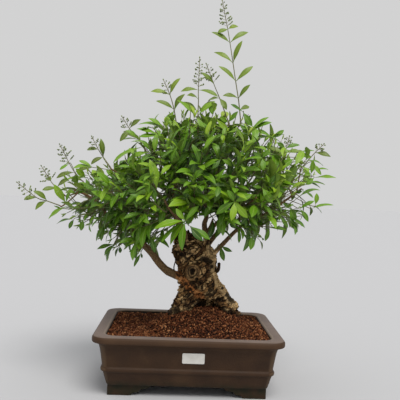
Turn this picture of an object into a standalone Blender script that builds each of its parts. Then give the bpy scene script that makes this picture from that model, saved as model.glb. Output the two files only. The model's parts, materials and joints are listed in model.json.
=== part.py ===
# Common privet bonsai: an old trunk with a domed crown of leafy and flowering shoots, in an
# unglazed rectangular pot of akadama soil. Metres, +Z up. Everything is laid out from the
# middle of the pot's footprint. At the end the whole plant is shifted so that the origin
# lies on the ground under the middle of its own box.
import math
import random
from collections import namedtuple

import bmesh
import bpy
from mathutils import Matrix, Quaternion, Vector, noise
from mathutils.bvhtree import BVHTree
from mathutils.geometry import interpolate_bezier
from mathutils.kdtree import KDTree

GAP = 0.0003
UP = Vector((0, 0, 1))

# Degrees between two faces above which their edge stays sharp
CRISP = 32
ROUND = 60

# Pot: half of the rim's width and depth, and sections as (inset from the rim, height)
POT_HALF = (0.155, 0.130)
POT_OUTSIDE = [
    (0.0262, 0.0178), (0.0245, 0.0202), (0.0186, 0.0396), (0.0156, 0.0412), (0.0154, 0.0468),
    (0.0172, 0.0488), (0.0154, 0.0610), (0.0130, 0.0750), (0.0102, 0.0838), (0.0062, 0.0866),
    (0.0008, 0.0880), (0.0000, 0.0896), (0.0000, 0.0952), (0.0024, 0.0980), (0.0055, 0.0986),
]
POT_INSIDE = [(0.0175, 0.0986), (0.0205, 0.0974), (0.0212, 0.0925), (0.0350, 0.0310), (0.0390, 0.0274)]
POT_CORNER_RADIUS = 0.026
LEAST_CORNER_RADIUS = 0.006
CORNER_TIGHTENING = 0.72
CORNER_STEPS = 3
FLOOR_TOP = POT_INSIDE[-1][1]
DRAIN_X = 0.068
DRAIN_RADIUS = 0.012
DRAIN_SIDES = 12

# Feet: a cloud-shaped bar along each side of every corner
FOOT_HEIGHT = 0.0190
FOOT_WIDTH = 0.019
FOOT_HALF_SPAN = (0.1284, 0.0990)
FOOT_SETBACK = 0.0012
FOOT_PROFILE = [
    (0.000, 0.000), (0.500, 0.000), (0.560, 0.220), (0.680, 0.260), (0.740, 0.520),
    (0.900, 0.580), (1.000, 1.000), (0.000, 1.000),
]
FOOT_LENGTHS = (0.072, 0.056)

# Drainage mesh over each hole in the floor
SCREEN_SIDE = 0.038
SCREEN_MESHES = 2
SCREEN_BAR = 0.0016
SCREEN_ROOM = 0.002

# Blank paper label on the front wall
LABEL_SIZE = (0.0355, 0.0175)
LABEL_THICKNESS = 0.0006
LABEL_CORNER = 0.0022
LABEL_CORNER_STEPS = 2
LABEL_MIDDLE = (0.0078, 0.0670)

# Soil: level at the wall, and a mound round the foot of the trunk
SOIL_LEVEL = 0.0928
MOUND_MIDDLE = (0.026, -0.012)
MOUND_REACH = (0.106, 0.092)
MOUND_RISE = 0.0385
MOUND_STEEPNESS = 1.15
CRUMB_HEIGHT = 0.0022
CRUMBS_PER_METRE = 70
SOIL_GRID = (12, 8)
ROOT_CLEARANCES = (2 * GAP, GAP, GAP / 3)

# Trunk and roots: centre lines as (x, y, z, radius)
TRUNK_LIMBS = {
    "left leg": [
        (0.014, 0.002, 0.190, 0.028), (0.005, -0.002, 0.162, 0.022), (-0.006, -0.008, 0.138, 0.019),
        (-0.016, -0.012, 0.112, 0.018), (-0.020, -0.014, 0.082, 0.013),
    ],
    "left root": [
        (-0.002, -0.004, 0.146, 0.016), (-0.014, -0.002, 0.127, 0.0155), (-0.028, 0.004, 0.106, 0.012),
        (-0.038, 0.008, 0.086, 0.008),
    ],
    "right leg": [
        (0.022, 0.000, 0.190, 0.026), (0.038, -0.002, 0.169, 0.0185), (0.055, -0.005, 0.152, 0.0150),
        (0.070, -0.009, 0.140, 0.0150), (0.0765, -0.012, 0.122, 0.0115), (0.078, -0.014, 0.086, 0.009),
    ],
    "right root": [
        (0.056, 0.006, 0.148, 0.016), (0.068, 0.012, 0.128, 0.013), (0.078, 0.018, 0.106, 0.010),
        (0.084, 0.022, 0.086, 0.007),
    ],
    "brow": [
        (-0.002, -0.008, 0.158, 0.013), (0.020, -0.010, 0.161, 0.016), (0.042, -0.009, 0.158, 0.014),
        (0.057, -0.008, 0.150, 0.011),
    ],
    "back leg": [
        (0.016, 0.012, 0.185, 0.028), (0.024, 0.022, 0.155, 0.027), (0.028, 0.032, 0.125, 0.025),
        (0.030, 0.040, 0.084, 0.018),
    ],
    "back root": [
        (0.006, 0.024, 0.142, 0.018), (-0.012, 0.038, 0.118, 0.013), (-0.028, 0.050, 0.088, 0.008),
    ],
    "waist": [
        (0.014, 0.004, 0.176, 0.035), (0.011, 0.003, 0.195, 0.034), (0.0055, 0.003, 0.213, 0.0305),
        (-0.004, 0.004, 0.231, 0.0285), (-0.010, 0.005, 0.243, 0.025), (-0.014, 0.006, 0.255, 0.015),
    ],
    "right shoulder": [
        (0.024, -0.002, 0.186, 0.022), (0.031, -0.004, 0.204, 0.015), (0.034, -0.004, 0.220, 0.010),
        (0.031, -0.003, 0.236, 0.0075),
    ],
}
TRUNK_VOXEL = 0.0034
TRUNK_FACES = 912
LIMB_SIDES = 12
TRUNK_SMOOTHING = (0.6, 6)
BARK_RELIEF = 0.0042
BARK_RIDGES_PER_METRE = (42, 42, 24)
BARK_LUMPS_PER_METRE = (95, 95, 70)
BURIED_RELIEF = 0.15
KNOT_MIDDLE = (0.0025, 0.1935)
KNOT_RADIUS = 0.0085
KNOT_DEPTH = 0.009
KNOT_RIM = 0.004

# Boughs: centre lines, and the radius at each end
BOUGHS = {
    "left": (0.0068, 0.0046, [
        (-0.008, -0.004, 0.179), (-0.028, -0.008, 0.186), (-0.047, -0.012, 0.197),
        (-0.070, -0.016, 0.224), (-0.087, -0.018, 0.241), (-0.097, -0.020, 0.257)]),
    "left up": (0.0042, 0.0017, [
        (-0.095, -0.020, 0.254), (-0.096, -0.016, 0.286), (-0.098, -0.008, 0.312),
        (-0.092, -0.002, 0.345), (-0.080, 0.004, 0.380), (-0.070, 0.010, 0.408)]),
    "left out": (0.0042, 0.0016, [
        (-0.093, -0.019, 0.250), (-0.108, -0.022, 0.263), (-0.140, -0.026, 0.277),
        (-0.160, -0.022, 0.302), (-0.184, -0.016, 0.318), (-0.208, -0.010, 0.326)]),
    "leader": (0.0068, 0.0018, [
        (0.033, -0.004, 0.222), (0.028, -0.002, 0.240), (0.025, -0.001, 0.257),
        (0.022, 0.000, 0.275), (0.025, 0.001, 0.292), (0.022, 0.004, 0.330),
        (0.032, 0.006, 0.375), (0.044, 0.006, 0.415)]),
    "right": (0.0048, 0.0016, [
        (0.034, -0.004, 0.216), (0.044, -0.006, 0.229), (0.057, -0.008, 0.244),
        (0.073, -0.008, 0.262), (0.093, -0.006, 0.280), (0.116, -0.004, 0.291),
        (0.140, -0.002, 0.305), (0.168, 0.002, 0.326), (0.194, 0.006, 0.346)]),
    "back left": (0.0060, 0.0018, [
        (-0.010, 0.010, 0.236), (-0.020, 0.026, 0.262), (-0.034, 0.048, 0.295),
        (-0.044, 0.068, 0.334), (-0.046, 0.080, 0.372)]),
    "back side": (0.0030, 0.0015, [
        (-0.034, 0.048, 0.294), (-0.066, 0.066, 0.306), (-0.100, 0.084, 0.318),
        (-0.130, 0.096, 0.328)]),
    "front": (0.0046, 0.0016, [
        (-0.008, -0.010, 0.240), (-0.014, -0.036, 0.264), (-0.026, -0.066, 0.286),
        (-0.040, -0.096, 0.302), (-0.050, -0.118, 0.318)]),
    "back right": (0.0046, 0.0016, [
        (0.028, -0.002, 0.238), (0.050, 0.022, 0.264), (0.074, 0.050, 0.290),
        (0.092, 0.080, 0.312), (0.104, 0.104, 0.328)]),
    "front right": (0.0038, 0.0015, [
        (0.026, -0.002, 0.256), (0.044, -0.026, 0.282), (0.066, -0.056, 0.300),
        (0.086, -0.086, 0.314), (0.098, -0.108, 0.326)]),
    "top left": (0.0050, 0.0017, [
        (-0.014, 0.005, 0.246), (-0.026, 0.000, 0.280), (-0.034, -0.004, 0.322),
        (-0.028, -0.008, 0.368), (-0.016, -0.008, 0.408)]),
    "dead twig": (0.0024, 0.0012, [
        (0.026, -0.003, 0.262), (0.031, -0.005, 0.272), (0.036, -0.006, 0.286)]),
    "dead stub": (0.0032, 0.0020, [
        (0.044, -0.008, 0.196), (0.050, -0.010, 0.204), (0.051, -0.010, 0.215)]),
}
BOUGH_SIDES = 6
TWIG_SIDES = 4
TWIG_STEPS = 2
TWIG_SPACING = 0.010
TWIG_LEAST = 0.012
TWIG_BEND = 0.35
TWIG_SHARE_OF_BOUGH = 0.75
TWIG_TIP_RADIUS = 0.0011
TWIG_FLARE = 0.010
TWIG_STRAIGHT = 0.003

# Flowering shoots: the stem's nodes, the tip of its panicle, how many stalks the panicle has,
# and its leaves as (node, tip of the leaf)
FLOWERING_SHOOTS = [
    ([(0.079, 0.000, 0.459), (0.076, 0.000, 0.481), (0.073, 0.000, 0.501), (0.067, 0.000, 0.531),
      (0.061, 0.000, 0.563), (0.054, 0.000, 0.599), (0.049, 0.000, 0.623)],
     (0.037, 0.000, 0.674), 11,
     [(6, (0.031, -0.004, 0.615)), (6, (0.068, 0.004, 0.630)), (5, (0.020, -0.008, 0.616)),
      (5, (0.087, 0.008, 0.622)), (4, (0.026, 0.008, 0.583)), (4, (0.075, -0.010, 0.602)),
      (3, (0.035, -0.004, 0.556)), (3, (0.097, 0.000, 0.560)), (2, (0.044, -0.010, 0.503)),
      (2, (0.092, -0.012, 0.525)), (1, (0.094, 0.010, 0.490))]),
    ([(0.003, -0.010, 0.440), (0.002, -0.010, 0.472), (0.002, -0.010, 0.494),
      (0.001, -0.010, 0.511)],
     (0.001, -0.010, 0.569), 9,
     [(3, (-0.030, -0.014, 0.506)), (3, (0.036, -0.016, 0.500)), (2, (-0.019, -0.026, 0.498)),
      (1, (0.031, -0.018, 0.492)), (1, (-0.027, -0.004, 0.490))]),
    ([(0.059, 0.022, 0.461), (0.050, 0.022, 0.483), (0.041, 0.022, 0.504),
      (0.030, 0.022, 0.528)],
     (0.014, 0.024, 0.566), 7,
     [(3, (0.004, 0.016, 0.548)), (2, (0.054, 0.014, 0.482)), (2, (0.020, 0.040, 0.500))]),
    ([(-0.034, -0.020, 0.444), (-0.040, -0.020, 0.473), (-0.048, -0.020, 0.498)],
     (-0.061, -0.020, 0.525), 5,
     [(2, (-0.082, -0.024, 0.502)), (2, (-0.031, -0.024, 0.528)), (1, (-0.072, -0.026, 0.486)),
      (1, (-0.022, -0.030, 0.500))]),
    ([(-0.084, 0.010, 0.398), (-0.101, 0.010, 0.421), (-0.118, 0.010, 0.440)],
     (-0.133, 0.010, 0.462), 5,
     [(2, (-0.098, 0.000, 0.456)), (2, (-0.134, 0.004, 0.416)), (1, (-0.130, 0.014, 0.436))]),
    ([(-0.146, -0.010, 0.368), (-0.160, -0.010, 0.386), (-0.169, -0.010, 0.399)],
     (-0.182, -0.010, 0.422), 5,
     [(1, (-0.165, -0.016, 0.418)), (2, (-0.190, -0.004, 0.398)), (1, (-0.180, -0.018, 0.372))]),
    ([(-0.198, 0.006, 0.344), (-0.211, 0.006, 0.358), (-0.221, 0.006, 0.373)],
     (-0.240, 0.006, 0.407), 6,
     [(1, (-0.242, 0.000, 0.346)), (1, (-0.180, 0.000, 0.368)), (2, (-0.232, 0.024, 0.368))]),
    ([(-0.226, -0.006, 0.318), (-0.239, -0.006, 0.329), (-0.249, -0.006, 0.339)],
     (-0.268, -0.006, 0.367), 6,
     [(1, (-0.216, -0.018, 0.344)), (1, (-0.262, -0.018, 0.324)), (2, (-0.262, 0.014, 0.346))]),
    ([(-0.228, -0.030, 0.299), (-0.250, -0.030, 0.306), (-0.268, -0.030, 0.311)],
     (-0.303, -0.028, 0.336), 6,
     [(2, (-0.288, -0.036, 0.307)), (1, (-0.268, -0.036, 0.290)), (1, (-0.272, -0.040, 0.322))]),
    ([(0.192, 0.000, 0.384), (0.204, 0.000, 0.399), (0.214, 0.000, 0.411)],
     (0.230, 0.000, 0.428), 5,
     [(1, (0.172, -0.008, 0.412)), (2, (0.240, -0.012, 0.404)), (1, (0.216, 0.022, 0.386))]),
    ([(0.158, 0.026, 0.394), (0.164, 0.026, 0.410), (0.167, 0.026, 0.420)],
     (0.172, 0.026, 0.442), 4,
     [(1, (0.130, 0.030, 0.418)), (1, (0.196, 0.032, 0.414))]),
]
PANICLE_STALK = 0.011
PANICLE_STALK_RADIUS = 0.0004
PANICLE_FOOT_SHARE = 0.16
PANICLE_LENGTH_SHARE = 0.78
FULL_PANICLE = 0.040
BUD_RADIUS = 0.0015
GOLDEN_ANGLE = math.pi * (3 - math.sqrt(5))

# Leafy shoots: spread through the crown by a rule
CROWN_MIDDLE = (-0.002, 0.000)
CROWN_REACH = (0.228, 0.158)
CROWN_TOP = 0.456
CROWN_TOP_FALL = 0.120
CROWN_BOTTOM = 0.250
CROWN_SKIRT = 0.026
LEAFY_SHOOTS = 30
# and three more, as (foot, tip), where that spread leaves the crown thin
MORE_LEAFY_SHOOTS = [
    ((0.074, -0.052, 0.378), (0.104, -0.082, 0.426)),
    ((0.134, -0.050, 0.352), (0.182, -0.078, 0.390)),
    ((-0.040, 0.060, 0.402), (-0.058, 0.090, 0.456)),
]
CROWN_TURN = 0.5
LEAF_PAIRS = 3
SHOOT_LENGTH = (0.056, 0.074)
SHOOT_RADIUS = (0.0011, 0.0006)
SHOOT_SAG = 0.10
CROWN_LAYERS = (0.0, 0.62, 1.0, 0.28)
# shoots under the crown's right half that hang less low than the rest, so that the trunk is seen
CROWN_LIFTS = {3: 0.036, 11: 0.018, 19: 0.012, 27: 0.014}
LEAF_LENGTH = (0.034, 0.045)
LEAF_WIDTH_SHARE = 0.29
LEAF_ARCH = 0.13
LEAF_THICKNESS = 0.0007
LEAF_CLEARANCE = 0.0005
LEAF_FOOT_SHARE = 0.2
LEAF_ANGLE = math.radians(58)
# Other ways for a leaf to grow where its first place is taken: turn round the stem, change of
# angle to the stem, and share of its length
LEAF_WAYS = [
    (0, 0, 1.0), (16, 0, 1.0), (-16, 0, 1.0), (0, 16, 1.0), (0, -16, 1.0), (28, 10, 0.9),
    (-28, 10, 0.9), (28, -14, 0.85), (-28, -14, 0.85), (0, 24, 0.75), (0, -24, 0.75),
]

# Other places for a shoot whose first one is taken, as shifts aside and up
SHOOT_SHIFTS = [
    (0, 0), (0.006, 0), (-0.006, 0), (0, 0.006), (0, -0.006), (0.010, 0.008), (-0.010, 0.008),
    (0.010, -0.008), (-0.010, -0.008), (0.018, 0), (-0.018, 0), (0.020, 0.014), (-0.020, 0.014),
]
TWIG_GAP = 0.0004
LIMB_CLEARANCE = 0.0009
BEAD_STEP = 0.0016

Leaf = namedtuple("Leaf", "base tip facing width arch")
Shoot = namedtuple("Shoot", "name nodes leaves panicle")
Growth = namedtuple("Growth", "point direction radius")


def clear_scene():
    for obj in list(bpy.data.objects):
        bpy.data.objects.remove(obj)


def new_collection(name):
    collection = bpy.data.collections.new(name)
    bpy.context.scene.collection.children.link(collection)
    return collection


def new_material(name, color, roughness):
    material = bpy.data.materials.new(name)
    material.use_nodes = True
    shader = material.node_tree.nodes["Principled BSDF"]
    shader.inputs["Base Color"].default_value = (*color, 1.0)
    shader.inputs["Roughness"].default_value = roughness
    shader.inputs["Metallic"].default_value = 0.0
    return material


def new_object(name, data, collection):
    obj = bpy.data.objects.new(name, data)
    collection.objects.link(obj)
    return obj


def object_of(bm, name, collection):
    bmesh.ops.recalc_face_normals(bm, faces=bm.faces)
    mesh = bpy.data.meshes.new(name)
    bm.to_mesh(mesh)
    bm.free()
    return new_object(name, mesh, collection)


def as_mesh(obj, collection):
    """The evaluated object as a mesh object of the same name, with its caps welded."""
    bpy.context.view_layer.update()
    evaluated = obj.evaluated_get(bpy.context.evaluated_depsgraph_get())
    mesh = bpy.data.meshes.new_from_object(evaluated)
    bm = bmesh.new()
    bm.from_mesh(mesh)
    bmesh.ops.remove_doubles(bm, verts=bm.verts, dist=1e-6)
    bmesh.ops.recalc_face_normals(bm, faces=bm.faces)
    bm.to_mesh(mesh)
    bm.free()
    name, place = obj.name, obj.matrix_world.copy()
    bpy.data.objects.remove(obj)
    made = new_object(name, mesh, collection)
    made.matrix_world = place
    return made


def tube(name, points, radii, sides, collection):
    """A closed tube through the points, with a radius at each."""
    curve = bpy.data.curves.new(name, "CURVE")
    curve.dimensions = "3D"
    curve.bevel_depth = 1.0
    curve.bevel_resolution = (sides - 4) // 2
    curve.use_fill_caps = True
    spline = curve.splines.new("POLY")
    spline.points.add(len(points) - 1)
    for knot, point, radius in zip(spline.points, points, radii):
        knot.co = (*point, 1.0)
        knot.radius = radius
    return as_mesh(new_object(name, curve, collection), collection)


def plate(name, outline, thickness, collection):
    """A flat outline in XY, extruded to its thickness about Z = 0."""
    curve = bpy.data.curves.new(name, "CURVE")
    curve.dimensions = "2D"
    curve.fill_mode = "BOTH"
    curve.extrude = thickness / 2
    spline = curve.splines.new("POLY")
    spline.points.add(len(outline) - 1)
    for knot, (x, y) in zip(spline.points, outline):
        knot.co = (x, y, 0, 1)
    spline.use_cyclic_u = True
    return new_object(name, curve, collection)


def fuse(obj, others, solver="MANIFOLD"):
    """One Boolean union of the object with all the others, which are then removed."""
    if not others:
        return obj
    workshop = new_collection("to be fused")
    for other in others:
        for home in list(other.users_collection):
            home.objects.unlink(other)
        workshop.objects.link(other)
    union = obj.modifiers.new("union", "BOOLEAN")
    union.operation = "UNION"
    union.operand_type = "COLLECTION"
    union.collection = workshop
    union.solver = solver
    made = as_mesh(obj, obj.users_collection[0])
    for other in list(workshop.objects):
        bpy.data.objects.remove(other)
    bpy.data.collections.remove(workshop)
    return made


def cut(obj, cutter, operation="DIFFERENCE", solver="EXACT"):
    boolean = obj.modifiers.new("cut by " + cutter.name, "BOOLEAN")
    boolean.operation = operation
    boolean.object = cutter
    boolean.solver = solver
    cutter.hide_render = True
    cutter.display_type = "WIRE"


def finished(obj, name, material, smooth_angle=None):
    """Names the piece and gives it its material, smooth where faces meet below the angle."""
    obj.name = name
    obj.data.name = name
    obj.data.materials.clear()
    obj.data.materials.append(material)
    if smooth_angle is not None:
        obj.data.shade_smooth()
        obj.data.set_sharp_from_angle(angle=math.radians(smooth_angle))
    return obj


def rounded_rectangle(half_x, half_y, radius, steps):
    """Corners of a rectangle, each rounded by an arc, anticlockwise."""
    points = []
    for corner in range(4):
        sign_x = 1 if corner in (0, 3) else -1
        sign_y = 1 if corner in (0, 1) else -1
        for step in range(steps + 1):
            angle = (corner + step / steps) * math.pi / 2
            x = sign_x * (half_x - radius) + radius * math.cos(angle)
            y = sign_y * (half_y - radius) + radius * math.sin(angle)
            points.append((x, y))
    return points


def loft(name, sections, collection):
    """A closed solid through rounded rectangles, each (half width, half depth, radius, height)."""
    bm = bmesh.new()
    rings = []
    for half_x, half_y, radius, height in sections:
        outline = rounded_rectangle(half_x, half_y, radius, CORNER_STEPS)
        rings.append([bm.verts.new((x, y, height)) for x, y in outline])
    for lower, upper in zip(rings, rings[1:]):
        for i in range(len(lower)):
            j = (i + 1) % len(lower)
            bm.faces.new((lower[i], lower[j], upper[j], upper[i]))
    bm.faces.new(rings[0])
    bm.faces.new(rings[-1])
    return object_of(bm, name, collection)


def pot_section(inset, height, shrink=0.0):
    radius = max(POT_CORNER_RADIUS - CORNER_TIGHTENING * inset, LEAST_CORNER_RADIUS)
    half_x, half_y = (half - inset - shrink for half in POT_HALF)
    return half_x, half_y, radius, height


def foot_bar(along_x, collection):
    """One cloud-shaped bar, from the corner at the front left towards the middle."""
    length = FOOT_LENGTHS[0 if along_x else 1]
    outline = [(x * length, z * FOOT_HEIGHT) for x, z in FOOT_PROFILE]
    bar = plate("foot bar", outline, FOOT_WIDTH, collection)
    corner_x, corner_y = (-half for half in FOOT_HALF_SPAN)
    stand = Matrix.Rotation(math.pi / 2, 4, "X")
    if along_x:
        corner = Matrix.Translation((corner_x, corner_y + FOOT_WIDTH / 2, 0))
    else:
        corner = Matrix.Translation((
            corner_x + FOOT_SETBACK + FOOT_WIDTH / 2, corner_y + FOOT_SETBACK, 0))
        stand = Matrix.Rotation(math.pi / 2, 4, "Z") @ stand
    bar.matrix_world = corner @ stand
    return as_mesh(bar, collection)


def pot_feet(collection):
    feet = fuse(foot_bar(True, collection), [foot_bar(False, collection)])
    feet.data.transform(feet.matrix_world)
    feet.matrix_world = Matrix.Identity(4)
    mirror = feet.modifiers.new("other corners", "MIRROR")
    mirror.use_axis = (True, True, False)
    mirror.use_mirror_merge = False
    return as_mesh(feet, collection)


def build_pot(parts, cutters, clay):
    sections = [pot_section(inset, height) for inset, height in POT_OUTSIDE + POT_INSIDE]
    pot = fuse(loft("pot", sections, parts), [pot_feet(parts)])
    for side in (-1, 1):
        bpy.ops.mesh.primitive_cylinder_add(
            vertices=DRAIN_SIDES, radius=DRAIN_RADIUS, depth=2 * FLOOR_TOP,
            location=(side * DRAIN_X, 0, FLOOR_TOP / 2))
        drain = bpy.context.object
        drain.name = "drain cutter"
        for home in list(drain.users_collection):
            home.objects.unlink(drain)
        cutters.objects.link(drain)
        cut(pot, drain)
    return finished(pot, "pot", clay, CRISP)


def build_screens(parts, plastic):
    """A square of drainage mesh over each hole."""
    screens = []
    for side, name in ((-1, "drainage_mesh_left"), (1, "drainage_mesh_right")):
        bm = bmesh.new()
        bmesh.ops.create_grid(
            bm, x_segments=SCREEN_MESHES, y_segments=SCREEN_MESHES, size=SCREEN_SIDE / 2)
        screen = object_of(bm, name, parts)
        screen.location = (side * DRAIN_X, 0, FLOOR_TOP + GAP + SCREEN_BAR / 2)
        wire = screen.modifiers.new("bars", "WIREFRAME")
        wire.thickness = SCREEN_BAR
        wire.use_boundary = True
        wire.use_even_offset = False
        screens.append(finished(screen, name, plastic))
    return screens


def wall_at(height):
    """The inset of the pot's outer wall at a height, and its slope there."""
    for (inset_a, low), (inset_b, high) in zip(POT_OUTSIDE, POT_OUTSIDE[1:]):
        if low <= height <= high:
            slope = (inset_b - inset_a) / (high - low)
            return inset_a + slope * (height - low), slope
    raise ValueError("no wall at that height")


def build_label(parts, paper):
    outline = rounded_rectangle(LABEL_SIZE[0] / 2, LABEL_SIZE[1] / 2, LABEL_CORNER, LABEL_CORNER_STEPS)
    label = plate("blank_label", outline, LABEL_THICKNESS, parts)
    x, height = LABEL_MIDDLE
    half = LABEL_SIZE[1] / 2
    # The label bridges the wall's slight hollow, so it leans on the wall at its two long edges.
    low_inset, _ = wall_at(height - half)
    high_inset, _ = wall_at(height + half)
    lean = math.atan2(low_inset - high_inset, 2 * half)
    middle = (low_inset + high_inset) / 2
    off_wall = LABEL_THICKNESS / 2 + GAP
    label.rotation_euler = (math.pi / 2 + lean, 0, 0)
    label.location = (x, -(POT_HALF[1] - middle) - off_wall, height - off_wall * math.sin(lean))
    return finished(label, "blank_label", paper)


def soil_height(x, y):
    across = (x - MOUND_MIDDLE[0]) / MOUND_REACH[0]
    along = (y - MOUND_MIDDLE[1]) / MOUND_REACH[1]
    dome = max(0.0, 1 - across ** 2 - along ** 2) ** MOUND_STEEPNESS
    crumbs = CRUMB_HEIGHT * noise.noise(Vector((x, y, 0)) * CRUMBS_PER_METRE)
    return SOIL_LEVEL + MOUND_RISE * dome + crumbs


def build_soil(parts, cutters, trunk, screens, grit):
    """Soil fills the pot to just under the rim, and the trunk stands in a hole of its own shape."""
    inner = [pot_section(inset, height, GAP) for inset, height in reversed(POT_INSIDE[2:])]
    floor = (*inner[0][:3], FLOOR_TOP + GAP)
    spread = (*inner[-1][:3], SOIL_LEVEL + 2 * MOUND_RISE)
    soil = loft("soil", [floor, inner[1], inner[2], spread], parts)

    bm = bmesh.new()
    bmesh.ops.create_grid(bm, x_segments=SOIL_GRID[0], y_segments=SOIL_GRID[1], size=1)
    for vert in bm.verts:
        vert.co.x *= POT_HALF[0]
        vert.co.y *= POT_HALF[1]
        vert.co.z = soil_height(vert.co.x, vert.co.y)
    top = [face for face in bm.faces]
    skirt = bmesh.ops.extrude_face_region(bm, geom=top)
    for item in skirt["geom"]:
        if isinstance(item, bmesh.types.BMVert):
            item.co.z = 0
    bmesh.ops.triangulate(bm, faces=[face for face in bm.faces if face.normal.z > 0.5])
    surface = object_of(bm, "soil surface", cutters)
    cut(soil, surface, "INTERSECT")

    # The wider cutter folds over itself in the creases between roots, where the tighter ones cut.
    for clearance in ROOT_CLEARANCES:
        root_hole = new_object("root hole", trunk.data.copy(), cutters)
        grow = root_hole.modifiers.new("clearance", "DISPLACE")
        grow.strength = clearance
        grow.mid_level = 0
        cut(soil, root_hole, solver="MANIFOLD")
    for screen in screens:
        bpy.ops.mesh.primitive_cube_add(size=1, location=screen.location)
        seat = bpy.context.object
        seat.name = "mesh seat"
        seat_side = SCREEN_SIDE + 2 * SCREEN_ROOM
        seat.dimensions = (seat_side, seat_side, SCREEN_BAR + 2 * GAP)
        bpy.ops.object.transform_apply(location=False, rotation=False, scale=True)
        for home in list(seat.users_collection):
            home.objects.unlink(seat)
        cutters.objects.link(seat)
        cut(soil, seat)
    return finished(soil, "soil", grit, CRISP)


def noise_at(point, per_metre):
    return noise.noise(Vector(place * count for place, count in zip(point, per_metre)))


def bark_relief(point):
    """How far old bark stands out of the trunk: long plates and knobs, and the ringed knot."""
    ridge = 1 - 2.4 * abs(noise_at(point, BARK_RIDGES_PER_METRE))
    lump = noise_at(point, BARK_LUMPS_PER_METRE)
    above_soil = point.z - soil_height(point.x, point.y)
    bared = min(1.0, max(BURIED_RELIEF, 0.7 + above_soil / 0.010))
    relief = BARK_RELIEF * bared * (ridge - 0.4 + 0.7 * lump)
    if point.y < 0:
        away = math.hypot(point.x - KNOT_MIDDLE[0], point.z - KNOT_MIDDLE[1]) / KNOT_RADIUS
        relief += KNOT_RIM * math.exp(-((away - 1.25) / 0.35) ** 2)
        relief -= KNOT_DEPTH * math.exp(-(away / 0.75) ** 4)
    return relief


def build_trunk(parts):
    """Legs, roots and waist grown together in one gnarled skin."""
    limbs = []
    for name, line in TRUNK_LIMBS.items():
        points = [knot[:3] for knot in line]
        radii = [knot[3] for knot in line]
        limbs.append(tube(name, points, radii, LIMB_SIDES, parts))
    trunk = fuse(limbs[0], limbs[1:])
    skin = trunk.modifiers.new("skin", "REMESH")
    skin.mode = "VOXEL"
    skin.voxel_size = TRUNK_VOXEL
    smooth = trunk.modifiers.new("smooth", "SMOOTH")
    smooth.factor, smooth.iterations = TRUNK_SMOOTHING
    trunk = as_mesh(trunk, parts)
    trunk.data.update()
    moved = [vert.co + vert.normal * bark_relief(vert.co) for vert in trunk.data.vertices]
    for vert, place in zip(trunk.data.vertices, moved):
        vert.co = place
    fewer = trunk.modifiers.new("fewer faces", "DECIMATE")
    fewer.ratio = TRUNK_FACES / (2 * len(trunk.data.polygons))
    fewer.use_collapse_triangulate = True
    return as_mesh(trunk, parts)


def taper(start, end, count):
    return [start + (end - start) * i / (count - 1) for i in range(count)]


def bough_growths(start_radius, end_radius, points):
    """Places along a bough where a twig can spring from."""
    found = []
    radii = taper(start_radius, end_radius, len(points))
    for i in range(len(points) - 1):
        step = points[i + 1] - points[i]
        count = max(2, round(step.length / TWIG_SPACING))
        for k in range(count):
            share = k / count
            radius = radii[i] + (radii[i + 1] - radii[i]) * share
            found.append(Growth(points[i] + step * share, step.normalized(), radius))
    return found


def twig_to(base, direction, growths):
    """The centre line and radii of a twig from the wood that best leads to a shoot's base."""
    def reach(growth):
        way = base - growth.point
        if way.length < TWIG_LEAST:
            return 1.0
        return way.length * (1.6 - 0.6 * growth.direction.dot(way.normalized()))

    source = min(growths, key=reach)
    way = base - source.point
    leaving = (source.direction + 1.2 * way.normalized()).normalized()
    line = interpolate_bezier(
        source.point, source.point + leaving * way.length * TWIG_BEND,
        base - direction * way.length * TWIG_BEND, base - direction * TWIG_STRAIGHT, TWIG_STEPS + 1)
    line.append(base)
    thick = min(TWIG_SHARE_OF_BOUGH * source.radius, TWIG_TIP_RADIUS + TWIG_FLARE * way.length)
    return line, taper(max(thick, TWIG_TIP_RADIUS), TWIG_TIP_RADIUS, len(line))


def twig_growths(line, radii):
    found = []
    for start, end, radius in zip(line[:-2], line[1:-1], radii):
        for k in range(2):
            found.append(Growth(start.lerp(end, (k + 0.5) / 2), (end - start).normalized(), radius))
    return found


def beads(line, radii):
    """Spheres strung closely along a limb, as (centre, radius)."""
    found = []
    for start, end, thick, thin in zip(line, line[1:], radii, radii[1:]):
        count = math.ceil((end - start).length / BEAD_STEP)
        for k in range(count):
            share = (k + 1) / count
            found.append((start.lerp(end, share), thick + (thin - thick) * share))
    return found


def keep_apart(some, others):
    """Whether no bead of one limb comes within the clearance of another's."""
    if not others:
        return True
    tree = KDTree(len(others))
    for i, (point, _) in enumerate(others):
        tree.insert(point, i)
    tree.balance()
    widest = max(radius for _, radius in others)
    for point, radius in some:
        for _, i, distance in tree.find_range(point, radius + widest + LIMB_CLEARANCE):
            if distance < radius + others[i][1] + LIMB_CLEARANCE:
                return False
    return True


def shifted_lines(line):
    """A shoot's line, and the same moved aside and up by each of the shifts."""
    way = (line[-1] - line[0]).normalized()
    across = way.cross(UP).normalized() if abs(way.z) < 0.95 else Vector((1, 0, 0))
    upward = across.cross(way)
    for aside, up in SHOOT_SHIFTS:
        yield [point + across * aside + upward * up for point in line]


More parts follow.
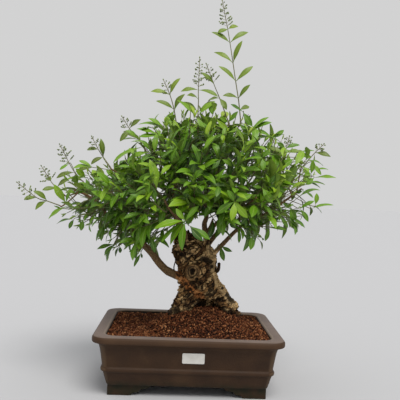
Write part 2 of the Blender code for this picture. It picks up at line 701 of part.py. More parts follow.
def plan_growth(shoots):
    """Gives each shoot a place clear of the rest, and a twig that leads to it from the boughs."""
    growths = []
    wood = []
    for name, (start_radius, end_radius, line) in BOUGHS.items():
        points = [Vector(point) for point in line]
        wood += beads(points, taper(start_radius, end_radius, len(points)))
        if not name.startswith("dead"):
            growths += bough_growths(start_radius, end_radius, points)
    middle = Vector((0, 0, 0.24))
    placed, stems, twigs = [], [], []
    order = sorted(shoots, key=lambda shoot: (not shoot.panicle, (shoot.nodes[0] - middle).length))
    for shoot in order:
        lines = [shoot.nodes] if shoot.panicle else shifted_lines(shoot.nodes)
        for line in lines:
            direction = (line[1] - line[0]).normalized()
            twig, radii = twig_to(line[0] - direction * TWIG_GAP, direction, growths)
            stem = beads(line, taper(*SHOOT_RADIUS, len(line)))
            if keep_apart(stem, wood) and keep_apart(beads(twig, radii)[:-2], stems):
                break
        else:
            continue
        placed.append(shoot._replace(nodes=line))
        twigs.append((twig, radii))
        stems += stem
        wood += beads(twig, radii)[:-1]
        growths += twig_growths(twig, radii)
    return placed, twigs


def build_wood(trunk, twigs, parts, bark):
    """Trunk, boughs and a twig to the foot of every shoot, as one grown piece."""
    limbs = []
    for name, (start_radius, end_radius, line) in BOUGHS.items():
        radii = taper(start_radius, end_radius, len(line))
        limbs.append(tube(name, line, radii, BOUGH_SIDES, parts))
    for line, radii in twigs:
        limbs.append(tube("twig", line, radii, TWIG_SIDES, parts))
    return finished(fuse(trunk, limbs), "wood", bark, ROUND)


def leaf_mesh(leaf, thickness, margin=0.0):
    """A blade with a pointed foot and tip, arched along its length and the same on both faces."""
    along = leaf.tip - leaf.base
    length = along.length
    along.normalize()
    across = along.cross(leaf.facing).normalized()
    face = across.cross(along)
    bm = bmesh.new()
    bmesh.ops.create_grid(bm, x_segments=1, y_segments=3, size=1)
    for vert in bm.verts:
        share = (vert.co.y + 1) / 2
        belly = math.sin(math.pi * min(share, 1 - share) * 1.4) ** 0.7 if 0.01 < share < 0.99 else 0
        half = (leaf.width / 2 + margin) * belly
        rise = 4 * leaf.arch * length * share * (1 - share)
        side = math.copysign(half, vert.co.x) if half else 0.0
        vert.co = leaf.base + along * length * share + across * side + face * rise
    bmesh.ops.remove_doubles(bm, verts=bm.verts, dist=1e-6)
    bmesh.ops.triangulate(bm, faces=bm.faces)
    for vert in bm.verts:
        vert.co -= face * (thickness + 2 * margin) / 2
    if sum(polygon.normal.dot(face) for polygon in bm.faces) > 0:
        bmesh.ops.reverse_faces(bm, faces=bm.faces)
    bmesh.ops.solidify(bm, geom=bm.faces[:], thickness=thickness + 2 * margin)
    return bm


def tree_of(bm):
    tree = BVHTree.FromBMesh(bm)
    corners = [vert.co for vert in bm.verts]
    low = Vector(min(corner[axis] for corner in corners) for axis in range(3))
    high = Vector(max(corner[axis] for corner in corners) for axis in range(3))
    return low, high, tree


def meets(one, other):
    apart = any(one[0][axis] > other[1][axis] or other[0][axis] > one[1][axis] for axis in range(3))
    return not apart and bool(one[2].overlap(other[2]))


def solid_tree(obj):
    bm = bmesh.new()
    bm.from_mesh(obj.data)
    found = tree_of(bm)
    bm.free()
    return found


def leaf_tree(leaf):
    bm = leaf_mesh(leaf, LEAF_THICKNESS, LEAF_CLEARANCE)
    found = tree_of(bm)
    bm.free()
    return found


def free_leaf(choices, taken, own):
    """The first of a leaf's ways to grow that keeps clear of what is there already."""
    for leaf in choices:
        whole = leaf_tree(leaf)
        # Sister leaves meet at their common node, so they are compared without their feet.
        blade = leaf_tree(leaf._replace(base=leaf.base.lerp(leaf.tip, LEAF_FOOT_SHARE)))
        if any(meets(whole, other) for other in taken) or any(meets(blade, other) for other in own):
            continue
        own.append(blade)
        return leaf
    return None


def placed_leaf_choices(base, tip, rng):
    facing = Vector((rng.uniform(-0.25, 0.25), -0.75, 0.6))
    for shift in (0, -0.006, 0.006, -0.012, 0.012):
        end = Vector(tip) + Vector((0, shift, 0))
        yield Leaf(base, end, facing, LEAF_WIDTH_SHARE * 0.036, LEAF_ARCH * rng.uniform(0.6, 1.1))


def grown_leaf_choices(base, tangent, side, length, outward, rng):
    droop = rng.uniform(-0.30, 0.05)
    facing = UP * 0.9 + tangent * 0.35 + outward * 0.25
    facing += Vector(rng.uniform(-0.22, 0.22) for _ in range(3))
    for turn, lift, share in LEAF_WAYS:
        about = Quaternion(tangent, math.radians(turn)) @ side
        angle = LEAF_ANGLE + math.radians(lift)
        way = tangent * math.cos(angle) + about * math.sin(angle) + UP * droop
        size = length * share
        tip = base + way.normalized() * size
        yield Leaf(base, tip, facing, size * LEAF_WIDTH_SHARE, LEAF_ARCH)


def crown_shell(share, low):
    """Height of the crown's top or underside at a share of its reach."""
    if low:
        return CROWN_BOTTOM + CROWN_SKIRT * (2.4 * share ** 3 - math.sin(math.pi * min(1, share * 1.15)))
    return CROWN_TOP - CROWN_TOP_FALL * share ** 1.9


def leafy_shoots():
    """Shoots in a sunflower spread over the crown, in turn on its top, inside and underneath."""
    shoots = []
    for i in range(LEAFY_SHOOTS):
        rng = random.Random(f"leafy shoot {i}")
        share = math.sqrt((i + 0.6) / LEAFY_SHOOTS)
        bearing = i * GOLDEN_ANGLE + CROWN_TURN
        outward = Vector((math.cos(bearing), math.sin(bearing) * 0.8, 0)).normalized()
        layer = CROWN_LAYERS[i % len(CROWN_LAYERS)]
        top, bottom = crown_shell(share, False), crown_shell(share, True)
        tip = Vector((
            CROWN_MIDDLE[0] + CROWN_REACH[0] * share * math.cos(bearing),
            CROWN_MIDDLE[1] + CROWN_REACH[1] * share * math.sin(bearing),
            top + (bottom - top) * layer + CROWN_LIFTS.get(i + 1, 0)))
        rise = 1.15 - 1.5 * layer - 0.45 * share
        way = (outward * (0.35 + 0.9 * share) + UP * rise).normalized()
        base = tip - way * rng.uniform(*SHOOT_LENGTH)
        shoots.append(Shoot(f"leafy_shoot_{i + 1:02d}", sagging_line(base, tip), None, None))
    for i, (base, tip) in enumerate(MORE_LEAFY_SHOOTS, LEAFY_SHOOTS + 1):
        shoots.append(Shoot(f"leafy_shoot_{i:02d}", sagging_line(Vector(base), Vector(tip)), None, None))
    return shoots


def sagging_line(base, tip):
    """A shoot's nodes, with the slight sag of a stem that carries leaves."""
    length = (tip - base).length
    way = (tip - base).normalized()
    sag = UP.cross(way).cross(way) * length * SHOOT_SAG
    middle = base.lerp(tip, 0.5) - sag
    return interpolate_bezier(base, base.lerp(middle, 0.7), tip.lerp(middle, 0.7), tip, LEAF_PAIRS + 1)


def flowering_shoots():
    shoots = []
    for i, (nodes, tip, stalks, leaves) in enumerate(FLOWERING_SHOOTS):
        line = [Vector(node) for node in nodes]
        shoots.append(Shoot(f"flowering_shoot_{i + 1:02d}", line, leaves, (Vector(tip), stalks)))
    return shoots


def leaves_of(shoot, taken):
    """The leaves that find room on a shoot: as named on a flowering one, by the rule on the rest."""
    own = []
    found = []
    rng = random.Random(shoot.name)
    if shoot.leaves is not None:
        for node, tip in shoot.leaves:
            found.append(free_leaf(placed_leaf_choices(shoot.nodes[node], tip, rng), taken, own))
        return [leaf for leaf in found if leaf]
    spin = rng.uniform(0, math.pi)
    for k in range(1, len(shoot.nodes)):
        tangent = (shoot.nodes[k] - shoot.nodes[k - 1]).normalized()
        flat = tangent.cross(UP)
        flat = flat.normalized() if flat.length > 0.2 else Vector((1, 0, 0))
        side = Quaternion(tangent, spin + k * math.pi / 2) @ flat
        outward = Vector((shoot.nodes[-1].x, shoot.nodes[-1].y, 0)).normalized()
        last = k == len(shoot.nodes) - 1
        for hand in (-1, 1):
            length = rng.uniform(*LEAF_LENGTH) * (0.85 if last else 1.0)
            choices = grown_leaf_choices(shoot.nodes[k], tangent, side * hand, length, outward, rng)
            found.append(free_leaf(choices, taken, own))
    return [leaf for leaf in found if leaf]


def panicle_stalks(shoot, collection):
    """Stalks with a bud at the end, in a spiral up the panicle's axis and shorter towards its tip."""
    tip, count = shoot.panicle
    foot = shoot.nodes[-1]
    axis = tip - foot
    side = axis.cross(Vector((0, 1, 0))).normalized()
    stalks = []
    for k in range(count):
        share = PANICLE_FOOT_SHARE + PANICLE_LENGTH_SHARE * k / count
        point = foot + axis * share
        out = Quaternion(axis.normalized(), k * GOLDEN_ANGLE) @ side
        way = (out + 0.8 * axis.normalized()).normalized()
        length = PANICLE_STALK * (1.1 - 0.75 * share) * min(1.0, axis.length / FULL_PANICLE)
        end = point + way * length
        line = [point, end - way * BUD_RADIUS * 1.2, end]
        radii = [PANICLE_STALK_RADIUS, BUD_RADIUS, PANICLE_STALK_RADIUS]
        stalks.append(tube("stalk", line, radii, TWIG_SIDES, collection))
    return stalks


def build_shoots(shoots, wood, parts, green, flower):
    """Every shoot's stem first, then its leaves, each where it meets no other shoot."""
    stems = []
    for shoot in shoots:
        nodes = list(shoot.nodes)
        if shoot.panicle:
            nodes.append(shoot.panicle[0])
        stems.append(tube(shoot.name, nodes, taper(*SHOOT_RADIUS, len(nodes)), TWIG_SIDES, parts))
    stem_trees = [solid_tree(stem) for stem in stems]
    taken = [solid_tree(wood)]
    for i, shoot in enumerate(shoots):
        others = taken + stem_trees[:i] + stem_trees[i + 1:]
        pieces = panicle_stalks(shoot, parts) if shoot.panicle else []
        for leaf in leaves_of(shoot, others):
            pieces.append(object_of(leaf_mesh(leaf, LEAF_THICKNESS), "leaf", parts))
        material = flower if shoot.panicle else green
        made = finished(fuse(stems[i], pieces), shoot.name, material, ROUND)
        taken.append(solid_tree(made))


def stand_on_origin(parts, cutters):
    """Shift the plant so that the origin is on the ground under the middle of its box."""
    bpy.context.view_layer.update()
    corners = [obj.matrix_world @ Vector(corner) for obj in parts.objects for corner in obj.bound_box]
    middle = [(min(c[axis] for c in corners) + max(c[axis] for c in corners)) / 2 for axis in (0, 1)]
    plant = new_object("privet_bonsai", None, parts)
    for obj in [*parts.objects, *cutters.objects]:
        if obj != plant:
            obj.parent = plant
    plant.location = (-middle[0], -middle[1], 0)


def main():
    clear_scene()
    parts = new_collection("privet bonsai")
    cutters = new_collection("cutters")
    clay = new_material("unglazed_clay", (0.050, 0.034, 0.026), 0.62)
    grit = new_material("akadama_soil", (0.120, 0.040, 0.018), 0.95)
    bark = new_material("bark", (0.085, 0.058, 0.034), 0.90)
    green = new_material("privet_leaf", (0.070, 0.190, 0.018), 0.45)
    flower = new_material("flower_shoot", (0.150, 0.260, 0.060), 0.50)
    plastic = new_material("drainage_mesh", (0.020, 0.022, 0.020), 0.50)
    paper = new_material("label_paper", (0.700, 0.680, 0.640), 0.70)

    build_pot(parts, cutters, clay)
    screens = build_screens(parts, plastic)
    build_label(parts, paper)
    trunk = build_trunk(parts)
    build_soil(parts, cutters, trunk, screens, grit)

    shoots, twigs = plan_growth(flowering_shoots() + leafy_shoots())
    wood = build_wood(trunk, twigs, parts, bark)
    build_shoots(shoots, wood, parts, green, flower)
    stand_on_origin(parts, cutters)


main()
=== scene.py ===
# Common privet bonsai in its pot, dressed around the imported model. Metres, +Z up.
# Places are measured from the middle of the pot's footprint, and every finished piece is then
# moved to where the frame's pot stands.
import json
import math
import random
from collections import namedtuple

import bmesh
import bpy
import numpy as np
from mathutils import Matrix, Quaternion, Vector, noise
from mathutils.bvhtree import BVHTree
from mathutils.geometry import interpolate_bezier

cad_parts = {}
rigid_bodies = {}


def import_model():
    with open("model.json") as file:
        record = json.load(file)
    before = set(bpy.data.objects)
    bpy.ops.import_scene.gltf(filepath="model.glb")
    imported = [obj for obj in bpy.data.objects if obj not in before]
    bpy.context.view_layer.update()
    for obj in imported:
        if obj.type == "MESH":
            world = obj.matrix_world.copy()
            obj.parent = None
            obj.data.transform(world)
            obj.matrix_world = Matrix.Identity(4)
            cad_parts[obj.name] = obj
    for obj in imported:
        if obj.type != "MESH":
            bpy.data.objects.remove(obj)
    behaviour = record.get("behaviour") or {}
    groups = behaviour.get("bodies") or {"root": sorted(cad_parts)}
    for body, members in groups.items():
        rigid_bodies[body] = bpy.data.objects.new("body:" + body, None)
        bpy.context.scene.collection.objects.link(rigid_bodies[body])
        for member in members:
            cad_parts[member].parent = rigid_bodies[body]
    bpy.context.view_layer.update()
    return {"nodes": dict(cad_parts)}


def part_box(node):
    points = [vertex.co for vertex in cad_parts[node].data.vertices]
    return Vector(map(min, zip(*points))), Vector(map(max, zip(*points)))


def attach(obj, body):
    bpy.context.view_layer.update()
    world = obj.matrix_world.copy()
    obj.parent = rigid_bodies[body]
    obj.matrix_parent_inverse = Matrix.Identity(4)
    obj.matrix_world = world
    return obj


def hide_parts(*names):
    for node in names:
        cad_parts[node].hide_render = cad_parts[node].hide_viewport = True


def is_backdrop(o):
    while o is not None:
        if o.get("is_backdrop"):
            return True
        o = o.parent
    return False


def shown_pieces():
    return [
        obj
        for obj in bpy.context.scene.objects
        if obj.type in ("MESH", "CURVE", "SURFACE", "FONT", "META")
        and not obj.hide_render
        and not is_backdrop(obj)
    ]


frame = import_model()
potLow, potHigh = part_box("pot")
potMiddle = Vector(((potLow.x + potHigh.x) / 2, (potLow.y + potHigh.y) / 2, 0))
up = Vector((0, 0, 1))
noise.seed_set(5)  # otherwise the ways that noise shifts a point follow the clock
print("frame loaded with", len(frame["nodes"]), "nodes")


def inMetres(table):
    # The same table with its millimetres turned to metres
    if isinstance(table, dict):
        return {name: inMetres(part) for name, part in table.items()}
    if isinstance(table, (list, tuple)):
        return [inMetres(part) for part in table]
    return table / 1000


def clamp(value):
    return max(0.0, min(1.0, value))


def besideLine(place, start, end):
    # How far the place is from the straight line between two points, and at what share of it
    way = end - start
    share = clamp((place - start).dot(way) / way.length_squared)
    return (place - start.lerp(end, share)).length, share


# Camera and studio

view = {
    "lens": 54.71,  # mm, on a 36 mm frame
    "place": (-0.02977, -1.07780, 0.32147),
    "turns": (-0.167, 2.233, 2.372),  # pitch, yaw and roll in degrees
}

studio = {
    "backdrop": (255, 255, 255),
    "backdropStrength": 0.645,
    "floor": (188, 189, 192),
    "floorReach": 40,
    "sun": {"from": (0.22, -0.62, 1.0), "strength": 2.3, "softness": 34, "color": (255, 252, 247)},
}


def screenColor(red, green, blue):
    # A colour as seen on screen, 0 to 255, turned to the linear values that materials take
    return tuple((part / 255 / 12.92) if part <= 10 else ((part / 255 + 0.055) / 1.055) ** 2.4
                 for part in (red, green, blue))


def addToScene(name, data):
    made = bpy.data.objects.new(name, data)
    bpy.context.scene.collection.objects.link(made)
    return made


def placeCamera():
    pitch, yaw, roll = (math.radians(turn) for turn in view["turns"])
    ahead = Vector((math.sin(yaw) * math.cos(pitch), math.cos(yaw) * math.cos(pitch), math.sin(pitch)))
    right = Vector((math.cos(yaw), -math.sin(yaw), 0))
    over = right.cross(ahead)
    rolledRight = right * math.cos(roll) + over * math.sin(roll)
    rolledOver = over * math.cos(roll) - right * math.sin(roll)
    camera = addToScene("camera", bpy.data.cameras.new("camera"))
    camera.data.lens = view["lens"]
    place = Matrix((rolledRight, rolledOver, -ahead)).transposed().to_4x4()
    place.translation = Vector(view["place"]) + potMiddle
    camera.matrix_world = place
    bpy.context.scene.camera = camera


def lightStudio():
    scene = bpy.context.scene
    scene.view_settings.view_transform = "Standard"
    scene.world = scene.world or bpy.data.worlds.new("studio")
    scene.world.use_nodes = True
    backdrop = scene.world.node_tree.nodes["Background"]
    backdrop.inputs["Color"].default_value = (*screenColor(*studio["backdrop"]), 1)
    backdrop.inputs["Strength"].default_value = studio["backdropStrength"]
    sun = bpy.data.lights.new("sun", "SUN")
    sun.energy = studio["sun"]["strength"]
    sun.angle = math.radians(studio["sun"]["softness"])
    sun.color = screenColor(*studio["sun"]["color"])
    light = addToScene("sun", sun)
    light.rotation_euler = Vector(studio["sun"]["from"]).to_track_quat("Z", "Y").to_euler()


# Materials: sockets that can be used in Python sums, and the nodes behind them

def operator(operation, reflected=False):
    # One of Python's operators as a Math node
    def made(wire, other):
        numbers = (other, wire) if reflected else (wire, other)
        return wire.finish.node("Math", {"operation": operation}, dict(enumerate(numbers)))
    return made


class Wire:
    # One socket's value. Each operator adds the Math node that it stands for.
    def __init__(self, finish, socket):
        self.finish, self.socket = finish, socket

    __add__, __radd__ = operator("ADD"), operator("ADD", True)
    __sub__, __rsub__ = operator("SUBTRACT"), operator("SUBTRACT", True)
    __mul__, __rmul__ = operator("MULTIPLY"), operator("MULTIPLY", True)
    __lt__ = operator("LESS_THAN")

    def __abs__(self):
        return self.finish.node("Math", {"operation": "ABSOLUTE"}, {0: self})

    def between(self, low, high):
        # 0 at low and below, 1 at high and above, smooth between
        settings = {"interpolation_type": "SMOOTHSTEP"}
        return self.finish.node("MapRange", settings, {"Value": self, "From Min": low, "From Max": high})


class Finish:
    # One material and the nodes that make it
    def __init__(self, name, **constants):
        self.material = bpy.data.materials.new(name)
        self.material.use_nodes = True
        self.tree = self.material.node_tree
        self.shader = self.tree.nodes["Principled BSDF"]
        for socket, value in constants.items():
            self.shader.inputs[socket.replace("_", " ")].default_value = value

    def node(self, kind, settings=None, values=None, output=0):
        made = self.tree.nodes.new("ShaderNode" + kind)
        for name, value in (settings or {}).items():
            if name == "stops":
                self.setStops(made.color_ramp, value)
            else:
                setattr(made, name, value)
        for name, value in (values or {}).items():
            self.feed(made.inputs[name], value)
        return Wire(self, made.outputs[output])

    def setStops(self, ramp, stops):
        while len(ramp.elements) < len(stops):
            ramp.elements.new(1.0)
        for element, (place, color) in zip(ramp.elements, stops):
            element.position = place
            element.color = (*screenColor(*color), 1)

    def feed(self, socket, value):
        if isinstance(value, Wire):
            self.tree.links.new(value.socket, socket)
        elif socket.type == "RGBA":
            socket.default_value = (*screenColor(*value), 1)
        else:
            socket.default_value = value

    def place(self):
        return self.node("TexCoord", None, None, "Object")

    def stretched(self, vector, factors):
        return self.node("VectorMath", {"operation": "MULTIPLY"}, {0: vector, 1: factors})

    def grain(self, perMetre, detail, vector=None):
        values = {"Vector": vector or self.place(), "Scale": perMetre, "Detail": detail}
        return self.node("TexNoise", None, values)

    def cells(self, perMetre, vector):
        return self.node("TexVoronoi", None, {"Vector": vector, "Scale": perMetre})

    def axes(self, vector):
        return (self.node("SeparateXYZ", None, {"Vector": vector}, axis) for axis in "XYZ")

    def marks(self):
        # The numbers kept at each point of the mesh: three as one colour, and the fourth
        marks = {"attribute_name": "marks", "attribute_type": "GEOMETRY"}
        color = self.node("Attribute", marks, None, "Color")
        fourth = self.node("Attribute", marks, None, "Alpha")
        parts = [self.node("SeparateColor", None, {"Color": color}, part) for part in range(3)]
        return (*parts, fourth)

    def ramp(self, value, stops):
        return self.node("ValToRGB", {"stops": stops}, {"Fac": value})

    def mix(self, share, first, second):
        # The numbered sockets are the share and the two colours
        return self.node("Mix", {"data_type": "RGBA"}, {0: share, 6: first, 7: second}, 2)

    def bump(self, height, distance, strength):
        values = {"Height": height, "Distance": distance, "Strength": strength}
        self.feed(self.shader.inputs["Normal"], self.node("Bump", None, values))

    def dress(self, **sockets):
        for socket, value in sockets.items():
            self.feed(self.shader.inputs[socket.replace("_", " ")], value)
        return self.material


# Meshes: many small closed shapes gathered in one

class Gather:
    # Shapes gathered into one mesh, with four marks at each point for its finish
    def __init__(self):
        self.points, self.marks, self.faces, self.count = [], [], [], 0

    def add(self, points, faces, marks):
        points = np.asarray(points, float)
        self.points.append(points)
        self.marks.append(np.broadcast_to(np.asarray(marks, float), (len(points), 4)))
        self.faces += [tuple(corner + self.count for corner in face) for face in faces]
        self.count += len(points)

    def piece(self, name, material, slotName, nodes, sharpAngle):
        made = meshObject(name, np.concatenate(self.points).tolist(), self.faces)
        setMarks(made.data, np.concatenate(self.marks))
        return settle(made, material, slotName, nodes, sharpAngle)


def meshObject(name, points, faces):
    mesh = bpy.data.meshes.new(name)
    mesh.from_pydata([tuple(point) for point in points], [], faces)
    return addToScene(name, mesh)


def setMarks(mesh, marks):
    kept = mesh.attributes.new("marks", "FLOAT_COLOR", "POINT")
    kept.data.foreach_set("color", np.asarray(marks, np.float32).ravel())


def settle(piece, material, slotName, nodes, sharpAngle):
    # The finished piece goes to the frame's pot, rides on it, and stands for its nodes
    piece.data.transform(Matrix.Translation(potMiddle))
    piece.data.materials.clear()
    piece.data.materials.append(material)
    piece.data.shade_smooth()
    piece.data.set_sharp_from_angle(angle=math.radians(sharpAngle))
    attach(piece, "root")
    if nodes:
        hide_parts(*nodes)
    return piece


def wallFaces(rings, sides):
    # The faces between rings of points that follow one another
    steps = [(k, (k + 1) % sides) for k in range(sides)]
    return [(i * sides + k, i * sides + after, (i + 1) * sides + after, (i + 1) * sides + k)
            for i in range(rings - 1) for k, after in steps]


def tubeShape(line, radii, sides, wobble=None):
    # Points and faces of a closed tube along a line
    points = []
    steps = [after - before for before, after in zip(line, line[1:])]
    normal = steps[0].orthogonal().normalized()
    for i, (centre, radius) in enumerate(zip(line, radii)):
        before, after = steps[max(i - 1, 0)], steps[min(i, len(steps) - 1)]
        tangent = (before.normalized() + after.normalized()).normalized()
        normal = (normal - tangent * normal.dot(tangent)).normalized()
        side = tangent.cross(normal)
        for k in range(sides):
            angle = 2 * math.pi * k / sides
            out = normal * math.cos(angle) + side * math.sin(angle)
            reach = radius * (1 + (wobble(centre + out * radius) if wobble else 0))
            points.append(centre + out * reach)
    faces = wallFaces(len(line), sides)
    first, last = len(points), len(points) + 1
    points += [line[0], line[-1] + steps[-1].normalized() * radii[-1] * 0.6]
    top = (len(line) - 1) * sides
    for k in range(sides):
        after = (k + 1) % sides
        faces += [(first, after, k), (last, top + k, top + after)]
    return points, faces


def smoothLine(points, perSpan):
    # A line through the points, rounded between them
    ends = [points[0] * 2 - points[1], *points, points[-1] * 2 - points[-2]]
    line = []
    for a, b, c, d in zip(ends, ends[1:], ends[2:], ends[3:]):
        for step in range(perSpan):
            t = step / perSpan
            line.append(0.5 * (2 * b + (c - a) * t + (2 * a - 5 * b + 4 * c - d) * t ** 2
                               + (3 * b - a - 3 * c + d) * t ** 3))
    return [*line, points[-1]]


def roundedTube(line, radii, sides, perSpan, wobble=None):
    # A tube whose line and radii are both rounded between their points
    knots = smoothLine([Vector((*point, radius)) for point, radius in zip(line, radii)], perSpan)
    return tubeShape([knot.to_3d() for knot in knots], [knot.w for knot in knots], sides, wobble)


def taper(start, end, count):
    return [start + (end - start) * i / (count - 1) for i in range(count)]


# Pot

pot = {
    "half": (0.155, 0.130),
    # the wall from the foot up, over the rim and down inside, as (inset from the rim, height) in mm
    "outside": inMetres([
        (26.2, 17.8), (25.2, 18.8), (24.3, 20.6), (19, 38), (18.2, 39.6), (16.6, 40.4), (15.6, 41.2),
        (15.1, 42.4), (15, 44), (15.1, 45.8), (15.7, 47.2), (16.8, 48.1), (17.2, 49.1), (16.5, 54.5),
        (15.4, 61), (14.2, 68.5), (13, 75), (11.5, 80.8), (10.2, 83.8), (8.4, 85.6), (6.2, 86.6),
        (3, 87.3), (1, 88.1), (0.1, 89.6), (0, 91.5), (0, 94), (0.4, 95.8), (1.4, 97.3), (3, 98.3),
        (5.2, 98.7),
    ]),
    "inside": inMetres([
        (9.5, 98.9), (15, 98.9), (17.8, 98.6), (19.6, 97.9), (20.7, 96.7), (21.2, 94.5), (21.4, 91.5),
        (35, 31), (39, 27.4),
    ]),
    "cornerRadius": 0.026,
    "leastCorner": 0.006,
    "cornerTightening": 0.72,
    "innerTightening": 0.30,
    "cornerSteps": 10,
    "drainX": 0.068,
    "drainRadius": 0.012,
    "floorTop": 0.0274,
    "footHeight": 0.0190,
    "footWidth": 0.019,
    "footHalfSpan": (0.1284, 0.0990),
    "footSetback": 0.0012,
    "footLengths": (0.072, 0.056),
    "footRounding": 0.0012,
    # one foot bar from the corner, as shares of its length and height
    "footProfile": [
        (0.000, 0.000), (0.490, 0.000), (0.520, 0.030), (0.545, 0.110), (0.560, 0.200),
        (0.590, 0.240), (0.650, 0.250), (0.690, 0.290), (0.715, 0.380), (0.735, 0.500),
        (0.780, 0.550), (0.860, 0.570), (0.915, 0.640), (0.960, 0.800), (1.000, 1.000), (0.000, 1.000),
    ],
}


def roundedRectangle(halfX, halfY, radius, steps):
    points = []
    for corner in range(4):
        signX = 1 if corner in (0, 3) else -1
        signY = 1 if corner in (0, 1) else -1
        for step in range(steps + 1):
            angle = (corner + step / steps) * math.pi / 2
            points.append((signX * (halfX - radius) + radius * math.cos(angle),
                           signY * (halfY - radius) + radius * math.sin(angle)))
    return points


def potOutline(inset, tightening):
    radius = max(pot["cornerRadius"] - pot[tightening] * inset, pot["leastCorner"])
    return roundedRectangle(pot["half"][0] - inset, pot["half"][1] - inset, radius, pot["cornerSteps"])


def lofted(name, sections):
    # A closed solid through outlines of equal count, each (outline, height)
    bm = bmesh.new()
    rings = [[bm.verts.new((x, y, height)) for x, y in outline] for outline, height in sections]
    for lower, upper in zip(rings, rings[1:]):
        for i in range(len(lower)):
            j = (i + 1) % len(lower)
            bm.faces.new((lower[i], lower[j], upper[j], upper[i]))
    bm.faces.new(rings[0])
    bm.faces.new(rings[-1])
    bmesh.ops.recalc_face_normals(bm, faces=bm.faces)
    return meshOf(bm, name)


def meshOf(bm, name):
    mesh = bpy.data.meshes.new(name)
    bm.to_mesh(mesh)
    bm.free()
    return addToScene(name, mesh)


def footBar(alongX, signX, signY):
    length = pot["footLengths"][0 if alongX else 1]
    setback = 0 if alongX else pot["footSetback"]
    bm = bmesh.new()
    outline = [(share * length, level * pot["footHeight"]) for share, level in pot["footProfile"]]
    near = [bm.verts.new((along, 0, height)) for along, height in outline]
    bm.faces.new(near)
    grown = bmesh.ops.extrude_face_region(bm, geom=bm.faces[:])
    moved = [item for item in grown["geom"] if isinstance(item, bmesh.types.BMVert)]
    bmesh.ops.translate(bm, verts=moved, vec=(0, pot["footWidth"], 0))
    for vert in bm.verts:
        along, across, height = vert.co
        x, y = (along, across) if alongX else (across, along)
        vert.co = (signX * (pot["footHalfSpan"][0] - setback - x),
                   signY * (pot["footHalfSpan"][1] - setback - y), height)
    bmesh.ops.recalc_face_normals(bm, faces=bm.faces)
    bar = meshOf(bm, "footBar")
    rounding = bar.modifiers.new("rounding", "BEVEL")
    rounding.width = pot["footRounding"]
    rounding.segments = 2
    rounding.limit_method = "ANGLE"
    rounding.angle_limit = math.radians(50)
    return applied(bar)


def applied(piece):
    # The piece as its modifiers make it
    bpy.context.view_layer.update()
    made = bpy.data.meshes.new_from_object(piece.evaluated_get(bpy.context.evaluated_depsgraph_get()))
    name = piece.name
    bpy.data.objects.remove(piece)
    return addToScene(name, made)


def joined(piece, others, operation="UNION"):
    # One Boolean with all the others, which are then removed
    workshop = bpy.data.collections.new("workshop")
    for other in others:
        for home in list(other.users_collection):
            home.objects.unlink(other)
        workshop.objects.link(other)
    boolean = piece.modifiers.new("join", "BOOLEAN")
    boolean.operation = operation
    boolean.operand_type = "COLLECTION"
    boolean.collection = workshop
    boolean.solver = "MANIFOLD"
    made = applied(piece)
    for other in list(workshop.objects):
        bpy.data.objects.remove(other)
    bpy.data.collections.remove(workshop)
    return made


def clayFinish():
    clay = Finish("clay", Roughness=0.62, Specular_IOR_Level=0.26)
    across, along, height = clay.axes(clay.place())
    sideways, frontwards, facing = clay.axes(clay.node("NewGeometry", None, None, "Normal"))
    cloud = clay.grain(26, 4)
    speckle = clay.grain(1500, 2)
    body = clay.ramp(cloud, [(0.30, (47, 29, 14)), (0.52, (57, 37, 20)), (0.72, (69, 48, 29))])
    body = clay.mix(speckle.between(0.55, 0.75) * 0.30, body, (104, 82, 66))
    body = clay.mix(speckle.between(0.42, 0.30) * 0.40, body, (38, 27, 20))
    # the rim's upward faces are lighter: partly dust, partly a painted highlight of the light falling on top
    dust = facing.between(0.70, 0.97) * height.between(0.085, 0.094) * (0.55 + 0.6 * cloud)
    body = clay.mix(dust, body, (121, 106, 98))
    lipEdge = height.between(0.081, 0.090) * (1 - facing.between(0.5, 0.9)) * 0.35
    body = clay.mix(lipEdge, body, (80, 57, 38))
    # painted highlight along the wall's rounded corners, partly wear
    corner = abs(sideways * frontwards).between(0.22, 0.48) * height.between(0.086, 0.083) * 0.40
    body = clay.mix(corner, body, (104, 82, 58))
    inner = across * sideways + along * frontwards < 0
    # a pale line along the rim's rounded inner edge: a painted highlight, partly wear
    wearAndPaintedHighlight = height.between(0.0960, 0.0970) * facing.between(0.998, 0.975) * facing.between(0.15, 0.40) * inner
    body = clay.mix(wearAndPaintedHighlight * (0.10 + 0.4 * cloud), body, (160, 144, 124))
    # painted shade on the inner wall from the rim down to the soil
    body = clay.mix(inner * height.between(0.0972, 0.0955) * 0.85, body, (24, 19, 14))
    damp = height.between(0.030, 0.014) * (0.45 + 0.9 * clay.grain(60, 3)).between(0.6, 1.05)
    body = clay.mix(damp, body, (31, 30, 12))
    gloss = 0.58 + 0.16 * cloud - 0.10 * speckle
    clay.bump(speckle * 0.5 + clay.grain(420, 3), 0.0005, 0.5)
    return clay.dress(Base_Color=body, Roughness=gloss)


def makePot(clay):
    sections = [(potOutline(inset, "cornerTightening"), height) for inset, height in pot["outside"]]
    sections += [(potOutline(inset, "innerTightening"), height) for inset, height in pot["inside"]]
    body = lofted("potBody", sections)
    bars = [footBar(alongX, signX, signY)
            for alongX in (True, False) for signX in (-1, 1) for signY in (-1, 1)]
    body = joined(body, bars)
    drains = []
    for side in (-1, 1):
        bm = bmesh.new()
        bmesh.ops.create_cone(bm, cap_ends=True, segments=32, radius1=pot["drainRadius"],
                              radius2=pot["drainRadius"], depth=2 * pot["floorTop"])
        bmesh.ops.translate(bm, verts=bm.verts, vec=(side * pot["drainX"], 0, pot["floorTop"] / 2))
        drains.append(meshOf(bm, "drain"))
    body = joined(body, drains, "DIFFERENCE")
    body.name = "potBody"
    return settle(body, clay, "clay", ["pot"], 28)


# Label, left blank

